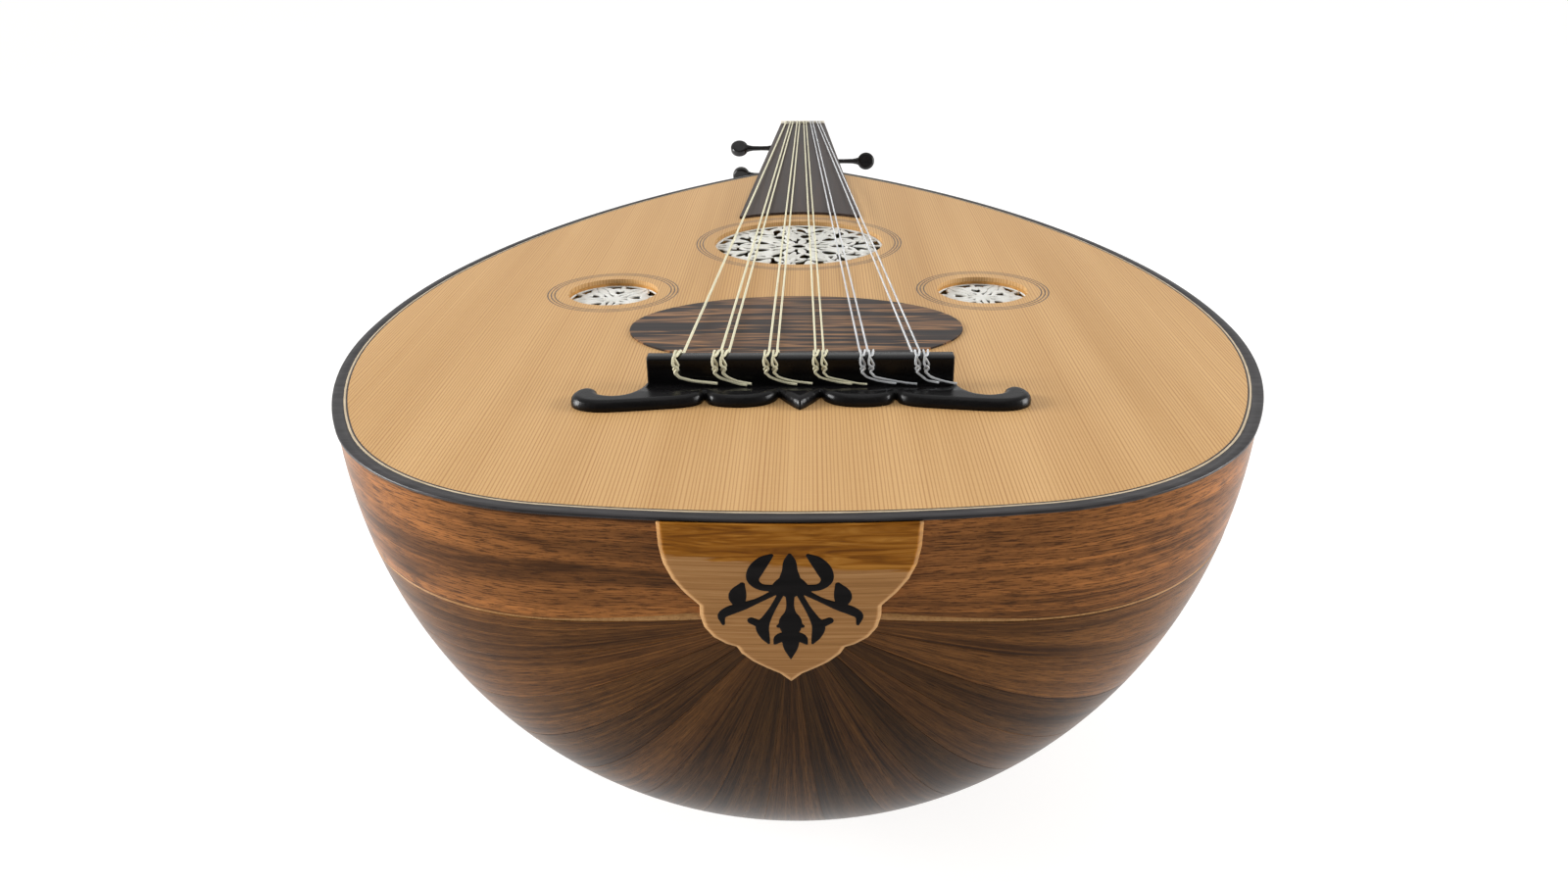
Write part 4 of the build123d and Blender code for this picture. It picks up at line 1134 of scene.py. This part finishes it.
# ---- pegs ----
def lathe(profile):
    """A closed turned solid about the X axis from (x, radius) points that start and end on the axis."""
    steps, inner = 40, profile[1:-1]
    verts = [(profile[0][0], 0.0, 0.0)]
    for x, radius in inner:
        for index in range(steps):
            turn = 2 * math.pi * index / steps
            verts.append((x, radius * math.cos(turn), radius * math.sin(turn)))
    verts.append((profile[-1][0], 0.0, 0.0))
    faces = [(0, 1 + (index + 1) % steps, 1 + index) for index in range(steps)]
    faces += grid_faces(len(inner), steps, start=1, wrap=True)
    last, base = len(verts) - 1, 1 + (len(inner) - 1) * steps
    faces += [(last, base + index, base + (index + 1) % steps) for index in range(steps)]
    return verts, faces, [(v[0] * MM, math.atan2(v[2], v[1]) * 0.003) for v in verts]


def peg_grip(centre, radius, thickness):
    """A flat round grip with dished faces and a soft edge, its plane holding the peg's axis."""
    steps, rings = 48, 20
    verts = []
    for ring in range(rings + 1):
        share = math.pi * ring / rings
        reach = radius * math.sin(share) ** 0.42
        height = thickness / 2 * math.copysign(abs(math.cos(share)) ** 0.55, math.cos(share))
        dish = 0.55 * math.exp(-(reach / (radius * 0.5)) ** 2)
        height -= math.copysign(dish, height) if abs(height) > 1 else 0
        for index in range(steps):
            turn = 2 * math.pi * index / steps
            verts.append((centre + reach * math.cos(turn), height, reach * math.sin(turn)))
    faces = grid_faces(rings + 1, steps, wrap=True)
    return verts, faces, [(v[0] * MM, v[2] * MM) for v in verts]


def peg_winding(side, number):
    """Turns of string round the shaft, from the bottom of the barrel outwards."""
    x = abs(winding_x(side, number))
    turns, radius = 5, 3.15 + STRING_RADIUS
    points = []
    for step in range(turns * 24 + 1):
        angle = 2 * math.pi * step / 24
        points.append((x - 2.2 + 0.92 * step / 24, radius * math.sin(angle), radius * math.cos(angle)))
    return tube(points, STRING_RADIUS, 8)


def make_pegs():
    """All eleven pegs, with their grips standing at chance angles."""
    shaft_wood = ebony_material("peg_ebony", (0.0050, 0.0046, 0.0046), (0.18, 0.30), specular=0.35)
    wound, nylon = bpy.data.materials["wound_string"], bpy.data.materials["clear_nylon"]
    ends = string_ends()
    grip_turns = {"left": (0.0, 1.2, 0.5, 2.2, 0.9, 1.7), "right": (0.75, 0.2, 1.5, 0.6, 1.1)}
    for side in ("left", "right"):
        for number in range(1, PEG_COUNT[side] + 1):
            make_peg(side, number, grip_turns[side][number - 1], shaft_wood,
                     wound if ends.index((side, number)) < WOUND_STRINGS else nylon)


def make_peg(side, number, grip_turn, wood, winding_material):
    """A turned shaft with its collar, a flat round grip, and the string wound round it."""
    along = peg_along(side, number)
    cheek = PEGBOX_HALF_ROOT - (PEGBOX_HALF_ROOT - PEGBOX_HALF_END) * along / PEGBOX_LENGTH
    tail = ((1.6, 0), (1.6, 1.6), (1.2, 2.4), (0.4, 2.7))
    collar = ((1.0, 3.18), (1.4, 3.9), (2.0, 4.5), (2.8, 4.75), (3.6, 4.6), (4.3, 4.0), (4.8, 3.5),
              (5.6, 3.2), (8.0, 2.55), (12.0, 1.9), (17.0, 1.8))
    profile = [(-(cheek + past), radius) for past, radius in tail] + [(0, 2.7), (0.2, 3.1)]
    profile += [(cheek + past, radius) for past, radius in collar]
    profile += [(42.0, 2.0), (45.0, 2.5), (47.0, 3.2), (48.5, 0)]
    turned = lathe(profile)
    grip = peg_grip(53.5, 7.2, 7.5)
    grip_verts = [Matrix.Rotation(grip_turn, 3, "X") @ Vector(vert) for vert in grip[0]]
    verts, faces, uv = joined([turned, (grip_verts, grip[1], grip[2])])
    sign = -1 if side == "left" else 1
    origin = pegbox_point(0, along, -PEG_DEPTH)
    bend = Matrix.Rotation(-PEGBOX_BEND, 3, "X")

    def placed(points):
        return [origin + bend @ Vector((sign * x, y, z)) for x, y, z in points]

    body = f"peg_{side}_{number}"
    new_piece(f"{body}_turned", wood, placed(verts), faces, uv, "black_ebony", (body,), body)
    verts, faces, uv = peg_winding(side, number)
    new_piece(f"{body}_winding", winding_material, placed(verts), faces, uv, "string_nylon", body=body)


# ---- neck ----
def neck_half_width(y):
    """Half the neck's width, tapering from the body to the nut."""
    share = (y - BODY_LENGTH) / (NUT_Y - BODY_LENGTH)
    return (NECK_WIDTH_BODY + (NECK_WIDTH_NUT - NECK_WIDTH_BODY) * share) / 2


def make_neck(material):
    """Half-round neck ending on the sloping face of the pegbox."""
    rows, columns = 60, 33
    verts, uv = [], []
    for row in range(rows):
        share = row / (rows - 1)
        for column in range(columns):
            y = BODY_LENGTH + (NECK_END_Y - BODY_LENGTH) * share
            for _ in range(12):
                half = neck_half_width(y)
                top = math.asin(-NECK_TOP / (half * DEPTH_FACTOR))
                turn = top + (math.pi - 2 * top) * column / (columns - 1)
                z = -DEPTH_FACTOR * half * math.sin(turn)
                end = NECK_END_Y + (z - NECK_TOP) * math.tan(PEGBOX_BEND)
                y = BODY_LENGTH + (end - BODY_LENGTH) * share
            verts.append((half * math.cos(turn), y, z))
            uv.append((y * MM, turn * half * MM))
    faces = grid_faces(rows, columns)
    for start in range(0, (rows - 1) * columns, columns):
        faces.append((start + columns, start, start + columns - 1, start + 2 * columns - 1))
    faces.append(tuple(range(columns)))
    faces.append(tuple(reversed(range((rows - 1) * columns, rows * columns))))
    bevelled(new_piece("neck_round", material, verts, faces, uv, "neck_wood", ("neck",)), 0.4, 50)


# ---- CAD pieces that keep their shape ----
def dress(node, material, bevel=0.0):
    """Gives a CAD node its material and, where asked, softened edges."""
    piece = frame["nodes"][node]
    piece.data.materials.clear()
    piece.data.materials.append(material)
    if bevel:
        bevelled(piece, bevel, 40)


def dress_cad_pieces():
    """Materials of the pieces that are seen as the CAD has them."""
    board = soundboard_material()
    for node in ("soundboard_left", "soundboard_right"):
        dress(node, board)
    dress("purfling", bone_material("purfling_light", (0.58, 0.48, 0.34), (0.44, 0.35, 0.23)))
    ring_wood = ebony_material("ring_line_wood", (0.065, 0.048, 0.036), (0.4, 0.5))
    dress("main_rose_ring", ring_wood)
    dress("side_rose_rings", ring_wood)
    dress("pickguard", macassar_material(), 0.3)
    dark, light = (0.030, 0.022, 0.020), (0.085, 0.060, 0.050)
    dress("fingerboard", plain_wood("fingerboard_ebony", dark, light, "Y", 700, (0.36, 0.48)), 0.3)
    dress("nut", bone_material("nut_bone", (0.86, 0.82, 0.72), (0.70, 0.64, 0.52), 0.3), 0.2)
    dark, light = (0.050, 0.024, 0.011), (0.150, 0.070, 0.030)
    neck_wood = plain_wood("neck_walnut", dark, light, "Y", 380, (0.25, 0.36))
    for part in ("cheek_left", "cheek_right", "back", "root_block", "end_block"):
        dress(f"pegbox_{part}", neck_wood, 0.5)
    dress("pegbox_finial", ebony_material("finial_ebony"), 0.3)
    inner = plain_wood("inner_spruce", (0.42, 0.27, 0.13), (0.62, 0.44, 0.25), "X", 500, (0.5, 0.65))
    for node in ("braces", "neck_block", "tail_block"):
        dress(node, inner)
    make_neck(neck_wood)


for make in (make_camera, make_light, make_floor, make_bowl, make_rim_strips, make_binding, make_clasp,
             make_roses, make_bridge, make_strings, make_pegs, dress_cad_pieces):
    make()
